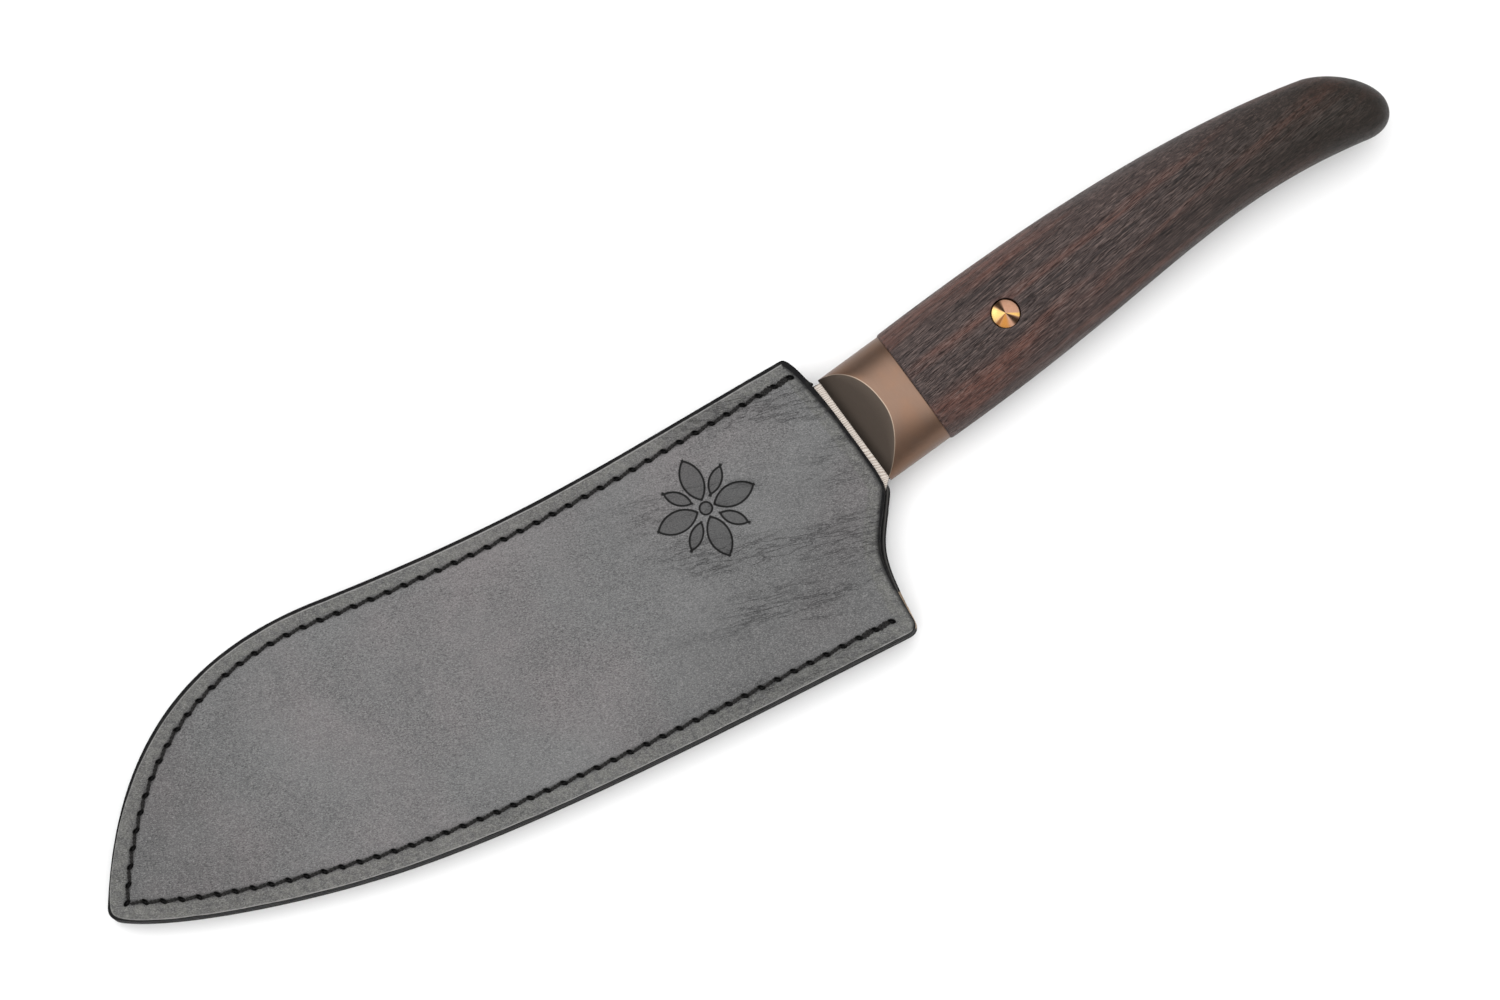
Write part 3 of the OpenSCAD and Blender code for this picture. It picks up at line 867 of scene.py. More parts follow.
def add_blade(material):
    spine = join(nose_curve, np.linspace(nose_start, blade_top, 90))
    stations = 200
    lower_main = even(edge_curve, travelled(edge_curve)[-1] / stations)
    reach = np.linspace(0, 1, len(lower_main)) ** 0.93
    upper_main = at_distances(spine, travelled(spine)[-1] * 0.985 * reach)
    choil = even(choil_curve, 0.7)[1:]
    top_end = at_distances(spine, travelled(spine)[-1] * np.linspace(0.985, 1, len(choil) + 1)[1:])
    lower = np.concatenate([lower_main, choil])
    upper = np.concatenate([upper_main, top_end])
    chord = np.linalg.norm(upper - lower, axis=1)
    shares = np.concatenate([[0, 0.012, 0.024, 0.05], np.linspace(0.09, 0.97, 24), [0.985, 0.993, 1.0]])
    grid = lower[:, None, :] + shares[None, :, None] * (upper - lower)[:, None, :]
    flat = grid.reshape(-1, 2)
    to_edge = gap_to(flat, edge_curve, closed=False)
    to_spine = gap_to(flat, spine, closed=False)
    height = np.where(flat[:, 0] < heel[0], to_edge, np.maximum(to_edge, flat[:, 1] - heel[1]))
    half = blade_half_thickness(flat[:, 0], height, to_spine)
    half = np.where(np.repeat(chord < 1e-3, len(shares)), EDGE_HALF_T, half)
    front = np.column_stack([flat, half])
    back = np.column_stack([flat, -half])
    rows, width = len(lower), len(shares)
    count = rows * width
    faces = grid_faces(rows, width)
    faces += [tuple(count + k for k in reversed(face)) for face in grid_faces(rows, width)]
    rim = [i * width for i in range(rows)]
    rim += [(rows - 1) * width + j for j in range(1, width)]
    rim += [i * width + width - 1 for i in range(rows - 2, -1, -1)]
    for a, b in zip(rim, rim[1:]):
        faces.append((a, b, count + b, count + a))
    points = np.concatenate([front, back])
    heights = np.concatenate([height, height])
    tang_points, tang_faces = tang(len(points))
    points = np.concatenate([points, tang_points])
    heights = np.concatenate([heights, np.full(len(tang_points), TANG_OVER_EDGE)])
    return add_piece("blade_steel", points, faces + tang_faces, KNIFE, "knife", ["blade"],
                     material, 32, {"over_edge": heights})


def tang(start):
    """The hidden tang, with the pin's hole, in the knife's frame. Faces are numbered from start."""
    half = TANG_H / 2
    end = TANG_H / 3
    outline = np.array([
        (-4, half), (-4, -half), (TANG_LEN - TANG_CORNER, -end), (TANG_LEN, TANG_CORNER - end),
        (TANG_LEN, end - TANG_CORNER), (TANG_LEN - TANG_CORNER, end),
    ])
    outline = even(np.concatenate([outline, outline[:1]]), 1.5)[:-1]
    bore = PIN_AT + (PIN_R + 0.02) * circle(40)
    n, m = len(outline), len(bore)
    flat = np.concatenate([outline, bore])
    plate = [f for f in triangles(outline, bore) if not all(k >= n for k in f)]
    turned = np.column_stack([
        flat[:, 0] * math.cos(GRIP_ANGLE) - flat[:, 1] * math.sin(GRIP_ANGLE),
        flat[:, 0] * math.sin(GRIP_ANGLE) + flat[:, 1] * math.cos(GRIP_ANGLE),
    ])
    points = np.concatenate([np.column_stack([turned, np.full(n + m, s * TANG_T / 2)]) for s in (1, -1)])
    faces = [tuple(start + k for k in f) for f in plate]
    faces += [tuple(start + n + m + k for k in reversed(f)) for f in plate]
    for first, size in ((0, n), (n, m)):
        for k in range(size):
            a, b = start + first + k, start + first + (k + 1) % size
            faces.append((a, b, n + m + b, n + m + a))
    return points, faces


# ---- Bolster ----

def oval(angles):
    """Heights and widths, up to 1, round an oval that is slightly squarer than an ellipse."""
    return [np.sign(wave) * np.abs(wave) ** SQUARENESS for wave in (np.cos(angles), np.sin(angles))]


# How much the bolster's front is slimmer at its lowest point than an even oval
LOWER_SLIMMING = 0.4


def add_bolster(material):
    count = 144
    soft = 0.14
    ups, outs = oval(turns(count))
    ups, outs = GRIP_H / 2 * ups, BOLSTER_HALF_W * outs
    rows = []
    for h, z in zip(ups, outs):
        slimmed = LOWER_SLIMMING * min(h / (GRIP_H / 2), 0) ** 2
        full = abs(z)
        reach = full * (1 - slimmed)
        start = max(0.0, (reach - FACET_LIP) / FACET_SLOPE)
        lip = min(reach, FACET_LIP)
        side = math.copysign(1.0, z)
        shares = np.linspace(0, 1, 7)
        slope = [(start * t, lip + (reach - lip) * t) for t in shares]
        slope[-1] = (start + 0.4 * soft, reach - 0.25 * soft)
        slope[-2] = (max(0.0, start - soft), max(lip, reach - soft * FACET_SLOPE))
        slope.append((start + 1.6 * soft, reach))
        body_len = BOLSTER_LEN - 0.2 - start - 1.6 * soft
        body = [(start + 1.6 * soft + body_len * t, reach + (full - reach) * t) for t in shares[1:]]
        end = [(BOLSTER_LEN - 0.04, full - 0.05), (BOLSTER_LEN - 0.02, full - 0.3)]
        rows.append([(s, h, side * w) for s, w in slope + body + end])
    points = np.array(rows)
    # Painted highlight along the crest between the facet and the rounded side
    crest_highlight = np.zeros(points.shape[:2])
    crest_highlight[:, 6] = 1.0
    crest_highlight *= (np.abs(outs) > 0.35 * BOLSTER_HALF_W)[:, None]
    facet = np.zeros(points.shape[:2])
    facet[:, :6] = 1.0
    width = points.shape[1]
    faces = grid_faces(count, width) + [
        ((count - 1) * width + j, j, j + 1, (count - 1) * width + j + 1) for j in range(width - 1)
    ]
    for k in range(count // 2):
        quad = [i % count * width for i in (k, k + 1, count - k - 1, count - k)]
        faces.append(tuple(dict.fromkeys(quad)))
    faces.append(tuple(k * width + width - 1 for k in reversed(range(count))))
    return add_piece("bolster_bronze", points.reshape(-1, 3), faces, GRIP, "knife",
                     ["bolster"], material, 28, {"crest_highlight": crest_highlight.reshape(-1), "facet": facet.reshape(-1)})


# ---- Handle ----

def grip_pt(u, v):
    return pt(u * GRIP_LEN, v * GRIP_H)


WOOD_STEPS = 110
BUTT_STEPS = 26
AROUND = 112
HOLE_SIDES = 56
HOLE_R = PIN_R + 0.05
# Change of the wood's step at shares of the way along it, which rounds its front edge
FRONT_ROUNDING = {0.0: -0.22, 0.0015: -0.08, 0.003: -0.02}
# Brings the share along and the angle round, which the wood's net is laid out in, to about millimetres
NET_SCALE = np.array([105.0, 12.0])
crown_top = grip_pt(0.911, 0.145)
crown_low = grip_pt(0.935, -0.53)
butt = grip_pt(1, -0.4)
back_curve = bezier(pt(BOLSTER_LEN, GRIP_H / 2), grip_pt(0.402, 0.535), grip_pt(0.689, 0.46), crown_top,
                    WOOD_STEPS)
belly_curve = bezier(pt(BOLSTER_LEN, -GRIP_H / 2), grip_pt(0.535, -0.533), grip_pt(0.673, -0.22), crown_low,
                     WOOD_STEPS)
half_widths = bezier(pt(0, 9.6), pt(0, 11.5), pt(0, 10.5), pt(0, 8.4), WOOD_STEPS)[:, 1]
butt_back = bezier(crown_top, grip_pt(0.963, 0.047), grip_pt(1.007, -0.225), butt, BUTT_STEPS)
butt_belly = bezier(crown_low, grip_pt(0.966, -0.58), grip_pt(0.994, -0.545), butt, BUTT_STEPS)


def wood_line(t):
    """Middles of the wood at shares t of the way along its main part, and the reach from each to its back."""
    steps = np.arange(WOOD_STEPS + 1) / WOOD_STEPS
    curves = (back_curve, belly_curve)
    top, low = [np.stack([np.interp(t, steps, part) for part in curve.T], axis=1) for curve in curves]
    return (top + low) / 2, (top - low) / 2


def wood_point(t, a, grow=WOOD_STEP):
    """Points of the wood's surface from shares t of the way along the main part and angles a."""
    half_w = np.interp(t, np.arange(WOOD_STEPS + 1) / WOOD_STEPS, half_widths)
    up, out = oval(a)
    middle, reach = wood_line(t)
    size = 1 + grow / np.linalg.norm(reach, axis=1)
    return np.column_stack([middle + reach * (up * size)[:, None], out * (half_w + grow)])


def wood_place(points):
    """(t, a) of side-view points on the wood's near side, found by halving."""
    low, high = np.zeros(len(points)), np.ones(len(points))
    for _ in range(40):
        t = (low + high) / 2
        middle, reach = wood_line(t)
        off = points - middle
        ahead = reach[:, 1] * off[:, 0] - reach[:, 0] * off[:, 1] > 0
        low, high = np.where(ahead, t, low), np.where(ahead, high, t)
    length = np.linalg.norm(reach, axis=1)
    up = (off * reach).sum(1) / length**2 / (1 + WOOD_STEP / length)
    return t, np.arccos(np.sign(up) * np.abs(up) ** (1 / SQUARENESS))


def add_handle(material):
    """The wood: a net over its sides with the pin's two holes cut in it, and rings round the butt."""
    ts = np.concatenate([[*FRONT_ROUNDING, 0.006], np.linspace(0.012, 1, WOOD_STEPS)])
    angles = np.linspace(0, math.tau, AROUND + 1)
    ring_radii = [HOLE_R + more for more in (0.0, 0.12, 0.3, 0.6, 1.0)]
    rings = np.concatenate([PIN_AT + r * circle(HOLE_SIDES) for r in ring_radii])
    ring_t, ring_a = wood_place(rings)
    near = np.column_stack([ring_t, ring_a])
    far_side = np.column_stack([ring_t, math.tau - ring_a])
    grid = np.stack(np.meshgrid(ts, angles, indexing="ij"), axis=2).reshape(-1, 2)
    side_view = wood_point(grid[:, 0], grid[:, 1])[:, :2]
    beside_hole = np.linalg.norm(side_view - PIN_AT, axis=1) < ring_radii[-1] + 0.35
    border = (grid[:, 0] <= 0) | (grid[:, 0] >= 1) | (grid[:, 1] <= 0) | (grid[:, 1] >= math.tau)
    inner = grid[~beside_hole & ~border]
    outline = np.concatenate([
        np.column_stack([ts[:-1], np.zeros(len(ts) - 1)]),
        np.column_stack([np.ones(AROUND), angles[:-1]]),
        np.column_stack([ts[::-1][:-1], np.full(len(ts) - 1, math.tau)]),
        np.column_stack([np.zeros(AROUND), angles[::-1][:-1]]),
    ])
    params = np.concatenate([outline, near, far_side, inner])
    n, m = len(outline), HOLE_SIDES
    net = triangles(outline * NET_SCALE, np.concatenate([near, far_side, inner]) * NET_SCALE)
    holes = (set(range(n, n + m)), set(range(n + len(near), n + len(near) + m)))
    net = [f for f in net if not any(all(k in hole for k in f) for hole in holes)]
    grow = np.full(len(params), WOOD_STEP)
    for t, change in FRONT_ROUNDING.items():
        grow[np.isclose(params[:, 0], t)] += change
    points = wood_point(params[:, 0], params[:, 1], grow)
    faces = list(net)
    for first in (n, n + len(near)):
        side = 1 if first == n else -1
        rim = np.arange(first, first + m)
        points[rim, 2] -= side * 0.1
        wall = points[rim].copy()
        wall[:, 2] -= side * 1.6
        start = len(points)
        points = np.concatenate([points, wall])
        for k in range(m):
            faces.append((rim[k], rim[(k + 1) % m], start + (k + 1) % m, start + k))
        faces.append(tuple(start + k for k in range(m)))
    start = len(points)
    q = np.arange(1, BUTT_STEPS) / BUTT_STEPS
    butt_rings = []
    for i, share in enumerate(q, 1):
        top, low = butt_back[i], butt_belly[i]
        ups, outs = oval(turns(AROUND))
        outs = (half_widths[-1] * (1 - share**2.5) + WOOD_STEP * (1 - share)) * outs
        reach = (top - low) / 2
        size = 1 + WOOD_STEP * (1 - share) / np.linalg.norm(reach)
        butt_rings.append(np.column_stack([(top + low) / 2 + reach * (ups * size)[:, None], outs]))
    last_ring = wood_point(np.ones(AROUND), angles[:-1])
    rings_all = np.concatenate([last_ring] + butt_rings + [[[butt[0], butt[1], 0.0]]])
    points = np.concatenate([points, rings_all])
    faces += grid_faces(BUTT_STEPS, AROUND, closed=True, start=start)
    end = start + (BUTT_STEPS - 1) * AROUND
    for k in range(AROUND):
        faces.append((end + k, end + (k + 1) % AROUND, len(points) - 1))
    faces.append(tuple(range(n - AROUND, n)))
    return add_piece("handle_wood", points, faces, GRIP, "knife", ["handle"], material, 40)


def add_pin(material):
    """The through pin, with a shallow polished dome at each end."""
    place = wood_place(PIN_AT[None])
    rim = wood_point(*place)[0, 2] - PIN_SUNK - PIN_DOME
    radius = (PIN_R**2 + PIN_DOME**2) / (2 * PIN_DOME)
    reach = math.asin(PIN_R / radius)
    dome = [(radius * math.sin(reach * s), rim + PIN_DOME - radius * (1 - math.cos(reach * s)))
            for s in np.linspace(0, 0.985, 14)]
    top = dome + [(PIN_R - 0.015, rim - 0.03), (PIN_R, rim - 0.1)]
    profile = [(r, -z) for r, z in top] + [(r, z) for r, z in reversed(top)]
    points, faces = lathe(profile)
    place = GRIP @ Matrix.Translation(Vector((PIN_S, PIN_H, 0)) * MM)
    pin = add_piece("handle_pin_copper", points, faces, place, "knife", ["handle_pin"],
                    material, 35)
    own = pin.data.attributes["mm"].data
    turning = pin.data.uv_layers.new(name="turning").data
    for face in pin.data.polygons:
        spots = [own[pin.data.loops[k].vertex_index].vector for k in face.loop_indices]
        middle = sum((spot.copy() for spot in spots), Vector((0, 0, 0)))
        toward = math.atan2(middle.y, middle.x)
        for k, spot in zip(face.loop_indices, spots):
            angle = math.atan2(spot.y, spot.x) if spot.xy.length > 1e-3 else toward
            angle = toward + (angle - toward + math.pi) % math.tau - math.pi
            turning[k].uv = (angle / math.tau, spot.z / GRIP_H)
    return pin


# ---- Materials ----

class Shader:
    """A Principled material and short ways to add nodes to it, in the piece's own millimetres."""

    def __init__(self, name, own_frame=True, **settings):
        self.material = bpy.data.materials.new(name)
        self.material.use_nodes = True
        self.tree = self.material.node_tree
        self.surface = self.tree.nodes["Principled BSDF"]
        for key, value in settings.items():
            self.surface.inputs[key.replace("_", " ")].default_value = value
        if own_frame:
            self.mm = self.node("ShaderNodeAttribute", attribute_name="mm").outputs["Vector"]
        else:
            here = self.node("ShaderNodeTexCoord").outputs["Object"]
            scaled = self.node("ShaderNodeVectorMath", {0: here, "Scale": 1 / MM}, operation="SCALE")
            self.mm = scaled.outputs[0]

    def node(self, kind, inputs=None, **properties):
        node = self.tree.nodes.new(kind)
        for key, value in properties.items():
            setattr(node, key, value)
        for key, value in (inputs or {}).items():
            self.feed(node.inputs[key], value)
        return node

    def feed(self, socket, value):
        """Links a node's output to the socket, or sets a plain value on it."""
        if isinstance(value, bpy.types.NodeSocket):
            self.tree.links.new(value, socket)
        else:
            socket.default_value = value

    def value(self, name):
        return self.node("ShaderNodeAttribute", attribute_name=name).outputs["Fac"]

    def stretched(self, scale, turn=0.0):
        """Coordinates turned about Z and with a scale of their own on each axis, for streaks."""
        inputs = {"Vector": self.mm, "Rotation": (0, 0, turn), "Scale": tuple(1 / part for part in scale)}
        return self.node("ShaderNodeMapping", inputs, vector_type="TEXTURE").outputs[0]

    def streaks(self, scale, detail, roughness, turn=0.0, distortion=0.0):
        return self.noise(1.0, detail, roughness, self.stretched(scale, turn), distortion)

    def noise(self, scale, detail=2.0, roughness=0.5, at=None, distortion=0.0):
        inputs = {"Vector": at or self.mm, "Scale": scale, "Detail": detail, "Roughness": roughness,
                  "Distortion": distortion}
        return self.node("ShaderNodeTexNoise", inputs).outputs["Fac"]

    def math(self, operation, a, b=0.0, c=0.0):
        return self.node("ShaderNodeMath", {0: a, 1: b, 2: c}, operation=operation).outputs[0]

    def times(self, a, b):
        return self.math("MULTIPLY", a, b)

    def plus(self, a, b):
        return self.math("ADD", a, b)

    def minus(self, a, b):
        return self.math("SUBTRACT", a, b)

    def step(self, value, low, high, to_low=0.0, to_high=1.0):
        """A smooth step from one value to another as the input goes from low to high."""
        inputs = {"Value": value, "From Min": low, "From Max": high, "To Min": to_low, "To Max": to_high}
        return self.node("ShaderNodeMapRange", inputs, interpolation_type="SMOOTHSTEP").outputs["Result"]

    def mix(self, factor, a, b):
        """Colour a where the factor is 0 and b where it is 1."""
        node = self.node("ShaderNodeMix", data_type="RGBA")
        colours = (("A", "RGBA", colour(a)), ("B", "RGBA", colour(b)))
        for name, kind, value in (("Factor", "VALUE", factor), *colours):
            socket = next(s for s in node.inputs if s.name == name and s.type == kind)
            self.feed(socket, value)
        return next(s for s in node.outputs if s.type == "RGBA")

    def coat(self, factor, tint, share=None):
        """Lays a colour over those laid before, where the factor is 1, or only this share of it."""
        if share is not None:
            factor = self.times(factor, share)
        self.base = self.mix(factor, self.base, tint)

    def bump(self, height, depth_mm, under=None):
        """Bump whose full height stands for this many millimetres, on top of another bump."""
        inputs = {"Height": height, "Distance": depth_mm * MM, "Strength": 1.0}
        if under is not None:
            inputs["Normal"] = under
        return self.node("ShaderNodeBump", inputs).outputs["Normal"]

    def finish(self, **sockets):
        """Links the colour laid so far and these outputs to the surface."""
        for key, value in {"Base_Color": self.base, **sockets}.items():
            self.tree.links.new(value, self.surface.inputs[key.replace("_", " ")])
        return self.material


def colour(value):
    """A linear colour or a level of grey as four numbers, or a node's output as it is."""
    if isinstance(value, bpy.types.NodeSocket):
        return value
    return (value, value, value, 1.0) if isinstance(value, float) else (*value, 1.0)


PAINT = (0.007, 0.007, 0.0075)


def leather_material():
    """Vegetable-tanned black leather with its sheen painted into a grey base colour, a stamped rosette, and
    awl slits darkened partly by painted shade.
    """
    s = Shader("sheath_leather", Specular_IOR_Level=0.12)
    place = s.node("ShaderNodeSeparateXYZ", {0: s.mm})
    across = s.minus(s.times(place.outputs["X"], 0.6), place.outputs["Y"])
    shaded = s.plus(s.step(across, -16, 14, 0.0, 0.26), s.step(place.outputs["X"], -125, -182, 0.0, 0.3))
    pink = s.step(s.noise(0.028, 3, 0.5), 0.42, 0.62)
    # Painted sheen: a grey base in place of the broad sheen that makes the black leather look grey, with
    # pinkish patches of tone
    s.base = s.mix(pink, (0.120, 0.120, 0.121), (0.140, 0.129, 0.131))
    cloud = s.noise(0.11, 3, 0.6)
    s.coat(s.step(cloud, 0.3, 0.72, 0.0, 0.6), (0.100, 0.100, 0.101))
    s.coat(shaded, 0.01)
    border = s.step(s.value("inset"), 4.0, 3.2)
    smudge = s.streaks((0.7, 0.5, 0.5), 4, 0.65, 0.6)
    border_tone = s.mix(s.step(smudge, 0.38, 0.62), (0.114, 0.114, 0.103), (0.066, 0.066, 0.064))
    s.coat(border, border_tone, 0.7)
    fine = s.streaks((2.2, 4.0, 3.5), 4, 0.8, -0.3)
    depth = s.step(s.noise(0.06, 2), 0.35, 0.65, 0.6, 1.0)
    s.coat(s.times(s.step(fine, 0.38, 0.76), depth), (0.012, 0.012, 0.0125))
    speck = s.streaks((3.2, 5.5, 4.0), 2, 0.6, -0.3)
    s.coat(s.step(speck, 0.42, 0.78, 0.0, 0.5), (0.26, 0.255, 0.25))
    # Painted shade: darker furrows and fold lines in the creases towards the mouth; the fold lines are bumped
    # too
    towards_mouth = s.step(place.outputs["X"], -75, -25)
    furrow = s.streaks((0.026, 0.13, 1), 2, 0.55, -0.2, 0.5)
    crease_shade = s.times(s.step(furrow, 0.44, 0.66), towards_mouth)
    s.coat(crease_shade, (0.05, 0.05, 0.051), 0.17)
    folds = s.streaks((0.12, 0.75, 1), 3, 0.6, -0.2, 0.3)
    folds = s.math("ABSOLUTE", s.minus(folds, 0.5))
    folds = s.times(s.step(folds, 0.035, 0.0), s.step(crease_shade, 0.1, 0.9))
    s.coat(folds, (0.02, 0.02, 0.021), 0.3)
    # Painted highlight along the rounded edge, mottled by noise
    edge_highlight = s.times(s.value("edge_highlight"), s.step(s.noise(0.5, 2), 0.3, 0.6, 0.5, 1.0))
    s.coat(edge_highlight, (0.23, 0.225, 0.22))
    # Painted shade along the stitches' groove
    s.coat(s.value("groove"), 0.02, 0.55)
    s.coat(s.value("fill"), 0.035, 0.62)
    s.coat(s.step(s.value("mark"), 0.08, 0.6), 0.004)
    # Painted shade in the awl slits, whose cut leather is also dyed dark
    s.coat(s.step(s.value("pit"), 0.02, 0.35), 0.002)
    # Soft fade to the paint's black, inwards from the rim along the mouth
    s.coat(s.value("mouth_dark_fade"), PAINT, 0.85)
    s.coat(s.step(s.value("painted"), 0.2, 0.8), PAINT)
    suede = s.mix(s.noise(1.4, 4, 0.7), (0.20, 0.15, 0.105), (0.34, 0.26, 0.19))
    s.coat(s.step(s.value("flesh"), 0.4, 0.6), suede)
    rough = s.step(fine, 0.3, 0.7, 0.48, 0.64)
    grain = s.noise(1.7, 5, 0.62, distortion=0.25)
    under = s.bump(folds, -0.12)
    under = s.bump(grain, 0.2, under)
    return s.finish(Roughness=rough, Normal=s.bump(fine, 0.06, under))


def paint_material():
    """Black edge paint, burnished over the fibres of the cut leather."""
    s = Shader("edge_paint", Specular_IOR_Level=0.02)
    fibre = s.streaks((0.5, 0.5, 2.6), 3, 0.6)
    s.base = s.mix(s.step(fibre, 0.4, 0.75), PAINT, (0.015, 0.0145, 0.014))
    # Painted highlight along the rim, from the panels' values
    s.coat(s.value("edge_highlight"), (0.14, 0.135, 0.13))
    rough = s.step(fibre, 0.3, 0.7, 0.42, 0.6)
    return s.finish(Roughness=rough, Normal=s.bump(fibre, 0.08))


def welt_material():
    """Natural leather between the panels."""
    s = Shader("welt_leather", Specular_IOR_Level=0.2)
    fibre = s.noise(2.2, 4, 0.65, at=s.stretched((0.7, 0.7, 2.2)))
    s.base = s.mix(s.step(fibre, 0.3, 0.7), (0.30, 0.21, 0.145), (0.52, 0.41, 0.31))
    rough = s.step(fibre, 0.3, 0.7, 0.8, 0.65)
    return s.finish(Roughness=rough, Normal=s.bump(fibre, 0.06))


def thread_material():
    """Waxed black linen."""
    s = Shader("waxed_thread", Specular_IOR_Level=0.14)
    fibre = s.noise(7.0, 3, 0.7)
    s.base = s.mix(s.step(fibre, 0.35, 0.7), 0.004, (0.022, 0.021, 0.020))
    return s.finish(Roughness=s.step(fibre, 0.3, 0.7, 0.36, 0.6), Normal=s.bump(fibre, 0.05))


def steel_material():
    """Folded steel: wavy etched layers over a plain core that shows along the edge."""
    s = Shader("pattern_steel", Metallic=1.0)
    drift = s.streaks((0.016, 0.05, 0.4), 2, 0.5)
    swirl = s.streaks((0.07, 0.16, 0.6), 3, 0.55)
    layers = s.plus(s.times(drift, 20.0), s.times(swirl, 6.5))
    height = s.node("ShaderNodeSeparateXYZ", {0: s.mm}).outputs["Y"]
    layers = s.plus(layers, s.times(height, 1.9))
    band = s.math("SINE", s.times(layers, math.tau))
    fine_band = s.math("SINE", s.times(layers, 2.7 * math.tau))
    pattern = s.step(s.plus(band, s.times(fine_band, 0.45)), -0.5, 0.7)
    over_edge = s.plus(s.value("over_edge"), s.step(swirl, 0.2, 0.8, -2.5, 2.5))
    core = s.step(over_edge, 8.6, 7.9)
    pattern = s.times(pattern, s.minus(1.0, core))
    s.base = s.mix(pattern, (0.27, 0.245, 0.222), (0.222, 0.19, 0.166))
    line = s.minus(over_edge, 8.3)
    line = s.step(s.times(line, line), 0.3, 0.0, 0.0, 0.6)
    s.coat(line, (0.12, 0.105, 0.095))
    bevel = s.step(s.value("over_edge"), 1.0, 0.85)
    s.coat(bevel, (0.36, 0.35, 0.34))
    scratch = s.streaks((0.5, 22.0, 22.0), 3, 0.6)
    rough = s.plus(s.step(pattern, 0, 1, 0.24, 0.36), s.step(scratch, 0.3, 0.7, -0.04, 0.05))
    under = s.bump(pattern, -0.012)
    return s.finish(Roughness=rough, Normal=s.bump(scratch, 0.004, under))


def bronze_material():
    """Satin bronze, lightly toned, with fine brushing round it, and light painted in: a lighter facet and a
    highlight along its crest.
    """
    s = Shader("bronze_bolster", Metallic=1.0)
    tone = s.noise(0.16, 3, 0.55)
    s.base = s.mix(s.step(tone, 0.35, 0.65), (0.146, 0.094, 0.069), (0.158, 0.094, 0.064))
    # Painted light: the facet gets a greyer, lighter bronze, standing in for how its slope catches the light
    s.coat(s.value("facet"), (0.156, 0.125, 0.103))
    brush = s.streaks((14.0, 0.5, 0.5), 3, 0.6)
    s.coat(s.step(brush, 0.35, 0.7, 0.0, 0.12), (0.13, 0.09, 0.065))
    # Painted highlight along the facet's crest
    s.coat(s.step(s.value("crest_highlight"), 0.1, 0.9, 0.0, 0.8), (0.4, 0.32, 0.25))
    rough = s.step(brush, 0.3, 0.7, 0.38, 0.46)
    return s.finish(Roughness=rough, Normal=s.bump(brush, 0.006))


def wood_material():
    """Dark open-pored wood with reddish streaks, oiled."""
    s = Shader("dark_wood", Specular_IOR_Level=0.1)
    slant = 0.07
    broad = s.streaks((0.012, 0.13, 0.13), 3, 0.55, slant, 0.6)
    s.base = s.mix(s.step(broad, 0.48, 0.68), (0.046, 0.034, 0.032), (0.100, 0.047, 0.037))
    streak = s.streaks((0.05, 0.9, 0.9), 4, 0.65, slant, 0.4)
    s.coat(s.step(streak, 0.4, 0.75, 0.0, 0.85), (0.017, 0.014, 0.014))
    pale = s.streaks((0.25, 4.2, 4.2), 3, 0.7, slant)
    s.coat(s.step(pale, 0.46, 0.74, 0.0, 0.66), (0.17, 0.122, 0.108))
    pores = s.streaks((0.4, 6.5, 6.5), 3, 0.7, slant, 0.2)
    pore = s.step(pores, 0.48, 0.68)
    s.coat(pore, (0.008, 0.006, 0.006), 0.85)
    place = s.node("ShaderNodeSeparateXYZ", {0: s.mm})
    slanted = s.minus(place.outputs["X"], s.times(place.outputs["Y"], 1.2))
    towards_butt = s.step(slanted, 62, 135)
    s.coat(towards_butt, (0.009, 0.0085, 0.006), 0.68)
    rough = s.plus(s.step(streak, 0.3, 0.7, 0.38, 0.5), s.times(pore, 0.2))
    under = s.bump(streak, 0.05)
    return s.finish(Roughness=rough, Normal=s.bump(pore, -0.06, under))


# Sectors painted on the pin in the place of reflections on it: direction and spread in degrees, and colour
PIN_SECTORS = (
    (150, 48, (0.42, 0.28, 0.10)),
    (228, 34, (0.24, 0.105, 0.025)),
    (198, 12, (0.12, 0.05, 0.015)),
    (96, 26, (0.012, 0.007, 0.004)),
    (290, 24, (0.012, 0.007, 0.004)),
    (318, 12, (0.36, 0.22, 0.07)),
)


def copper_material():
    """Polished copper with painted bright and dark sectors."""
    s = Shader("copper_pin", Metallic=1.0, Anisotropic=0.7)
    place = s.node("ShaderNodeSeparateXYZ", {0: s.mm})
    angle = s.math("ARCTAN2", place.outputs["Y"], place.outputs["X"])
    s.base = s.mix(s.noise(0.6, 2, 0.5), (0.20, 0.105, 0.066), (0.25, 0.15, 0.105))
    for toward, spread, tint in PIN_SECTORS:
        lobe = s.math("COSINE", s.minus(angle, math.radians(toward)))
        lobe = s.step(lobe, math.cos(math.radians(spread)), 1.0)
        s.coat(lobe, tint)
    marks = s.noise(9.0, 2, 0.6)
    s.coat(s.step(marks, 0.45, 0.7, 0.0, 0.3), (0.1, 0.05, 0.03))
    rough = s.step(s.noise(3.0, 3, 0.6), 0.3, 0.7, 0.16, 0.24)
    tangent = s.node("ShaderNodeTangent", direction_type="UV_MAP", uv_map="turning").outputs[0]
    return s.finish(Roughness=rough, Tangent=tangent)


def epoxy_material():
    """Amber bedding epoxy with a few cloudy spots."""
    s = Shader("epoxy", own_frame=False, Specular_IOR_Level=0.5)
    cloud = s.noise(0.8, 3, 0.6)
    s.base = s.mix(s.step(cloud, 0.35, 0.7), (0.42, 0.31, 0.13), (0.62, 0.5, 0.28))
    return s.finish(Roughness=s.step(cloud, 0.3, 0.7, 0.2, 0.4))


# ---- Build ----

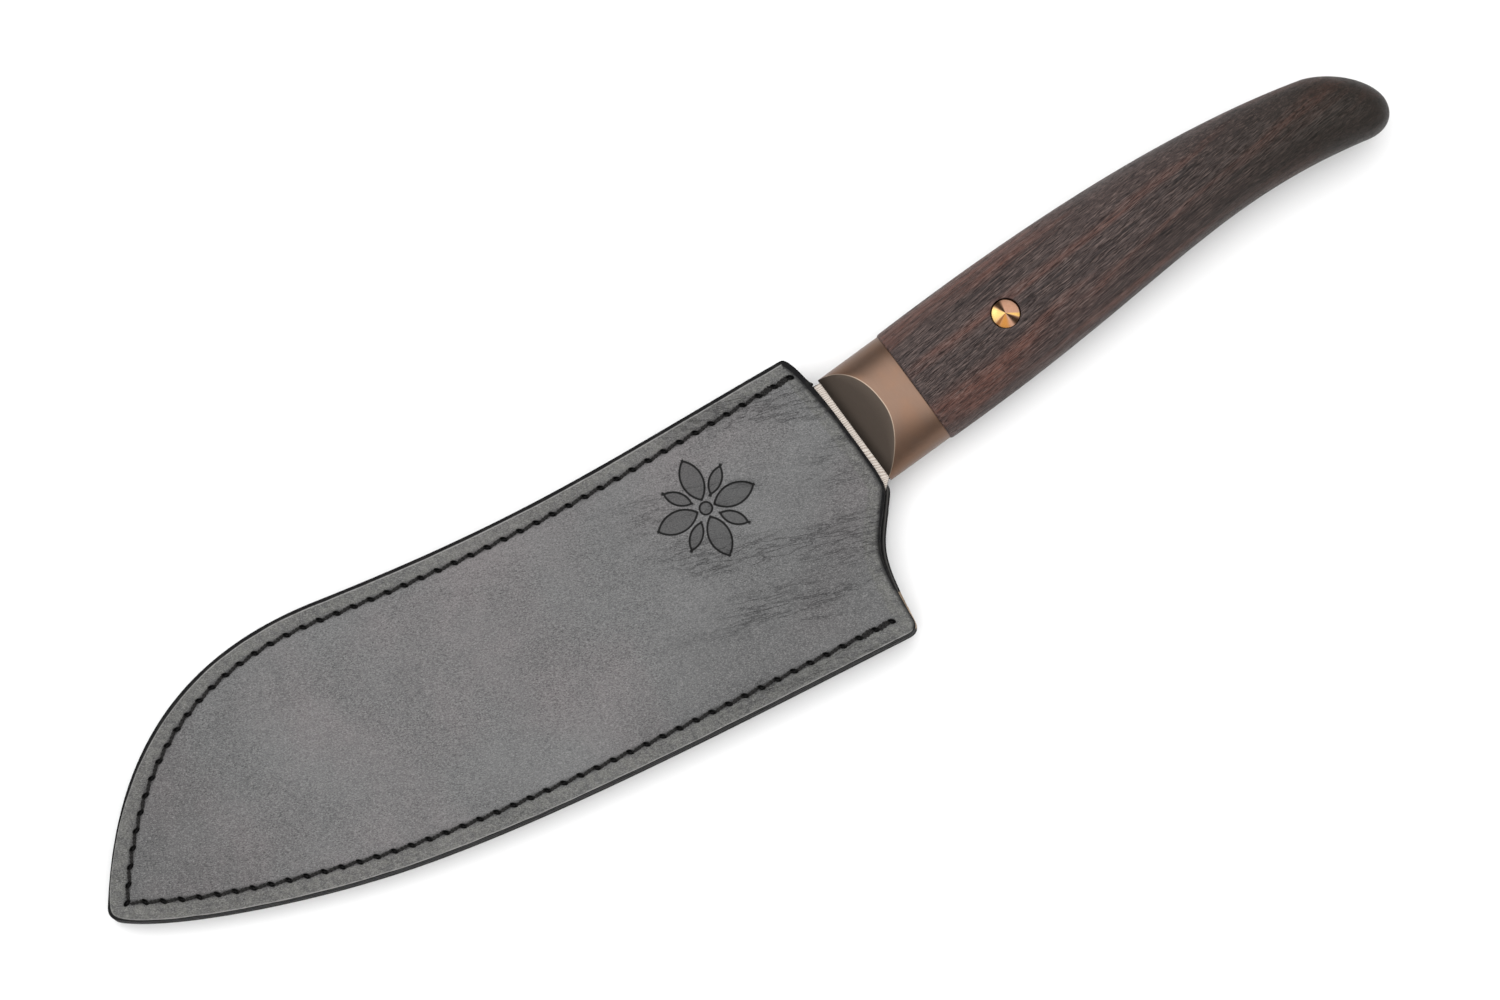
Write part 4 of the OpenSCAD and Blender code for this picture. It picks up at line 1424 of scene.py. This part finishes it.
leather = leather_material()
welt_leather = welt_material()
edge_paint = paint_material()
add_panel("front_panel_leather", "front_panel", 1, SCOOP_STEP, True, leather, edge_paint)
add_panel("back_panel_leather", "back_panel", -1, 0.0, False, leather, edge_paint)
for welt_name, (outer_path, inner_path) in zip(("spine_welt", "edge_welt"), welt_outlines()):
    add_welt(welt_name + "_leather", welt_name, outer_path, inner_path, welt_leather, edge_paint)
add_stitching(thread_material())
add_blade(steel_material())
add_bolster(bronze_material())
add_handle(wood_material())
add_pin(copper_material())
epoxy = frame["nodes"]["tang_epoxy"]
epoxy.data.materials.clear()
epoxy.data.materials.append(epoxy_material())


# ---- Camera, floor and light ----

# Where the middle of the picture falls on the knife, and how it is turned and leaned over it
VIEW_MIDDLE = Vector((-26.4, -3.2, 0.0))
VIEW_TURN = math.radians(27)
VIEW_LEAN = math.radians(7.2)
VIEW_LEAN_TO = math.radians(-90)
VIEW_DISTANCE = 2600.0
VIEW_WIDTH = 317.4


def add_camera():
    out = Vector((
        math.sin(VIEW_LEAN) * math.cos(VIEW_LEAN_TO), math.sin(VIEW_LEAN) * math.sin(VIEW_LEAN_TO),
        math.cos(VIEW_LEAN),
    ))
    right = Vector((math.cos(VIEW_TURN), -math.sin(VIEW_TURN), 0))
    right = (right - out * right.dot(out)).normalized()
    turn = Matrix((right, out.cross(right), out)).transposed().to_4x4()
    data = bpy.data.cameras.new("camera")
    data.sensor_width = 36.0
    data.lens = data.sensor_width * VIEW_DISTANCE / VIEW_WIDTH
    camera = put_in_scene("camera", data)
    camera.matrix_world = KNIFE @ Matrix.Translation((VIEW_MIDDLE + out * VIEW_DISTANCE) * MM) @ turn
    bpy.context.scene.camera = camera


def add_floor():
    half = 3.0
    mesh = bpy.data.meshes.new("floor")
    corners = [(-half, -half, 0), (half, -half, 0), (half, half, 0), (-half, half, 0)]
    mesh.from_pydata(corners, [], [(0, 1, 2, 3)])
    paper = Shader("floor_paper", own_frame=False, Specular_IOR_Level=0.0, Roughness=1.0)
    paper.base = paper.mix(paper.noise(0.02, 2), 0.78, 0.8)
    mesh.materials.append(paper.finish())
    floor = put_in_scene("floor", mesh)


def add_world():
    """A pale dome, bright overhead like a ceiling of diffusers and dimmer towards the horizon."""
    world = bpy.data.worlds.new("studio")
    world.use_nodes = True
    bpy.context.scene.world = world
    tree = world.node_tree
    sky = tree.nodes["Background"]
    sky.inputs["Color"].default_value = (1, 1, 1, 1)
    direction = tree.nodes.new("ShaderNodeTexCoord").outputs["Generated"]
    split = tree.nodes.new("ShaderNodeSeparateXYZ")
    tree.links.new(direction, split.inputs[0])
    glow = tree.nodes.new("ShaderNodeMapRange")
    glow.interpolation_type = "SMOOTHSTEP"
    for name, number in (("From Min", 0.46), ("From Max", 0.93), ("To Min", 0.38), ("To Max", 3.0)):
        glow.inputs[name].default_value = number
    tree.links.new(split.outputs["Z"], glow.inputs["Value"])
    tree.links.new(glow.outputs["Result"], sky.inputs["Strength"])


def add_softbox(name, size, power, place):
    data = bpy.data.lights.new(name, "AREA")
    data.shape = "SQUARE"
    data.size = size
    data.energy = power
    light = put_in_scene(name, data)
    light.location = place
    light.rotation_euler = (-Vector(place)).to_track_quat("-Z", "Y").to_euler()


add_camera()
add_floor()
add_world()
add_softbox("key_softbox", 0.9, 4.0, (-0.7, 0.9, 1.3))
bpy.context.scene.view_settings.view_transform = "Standard"
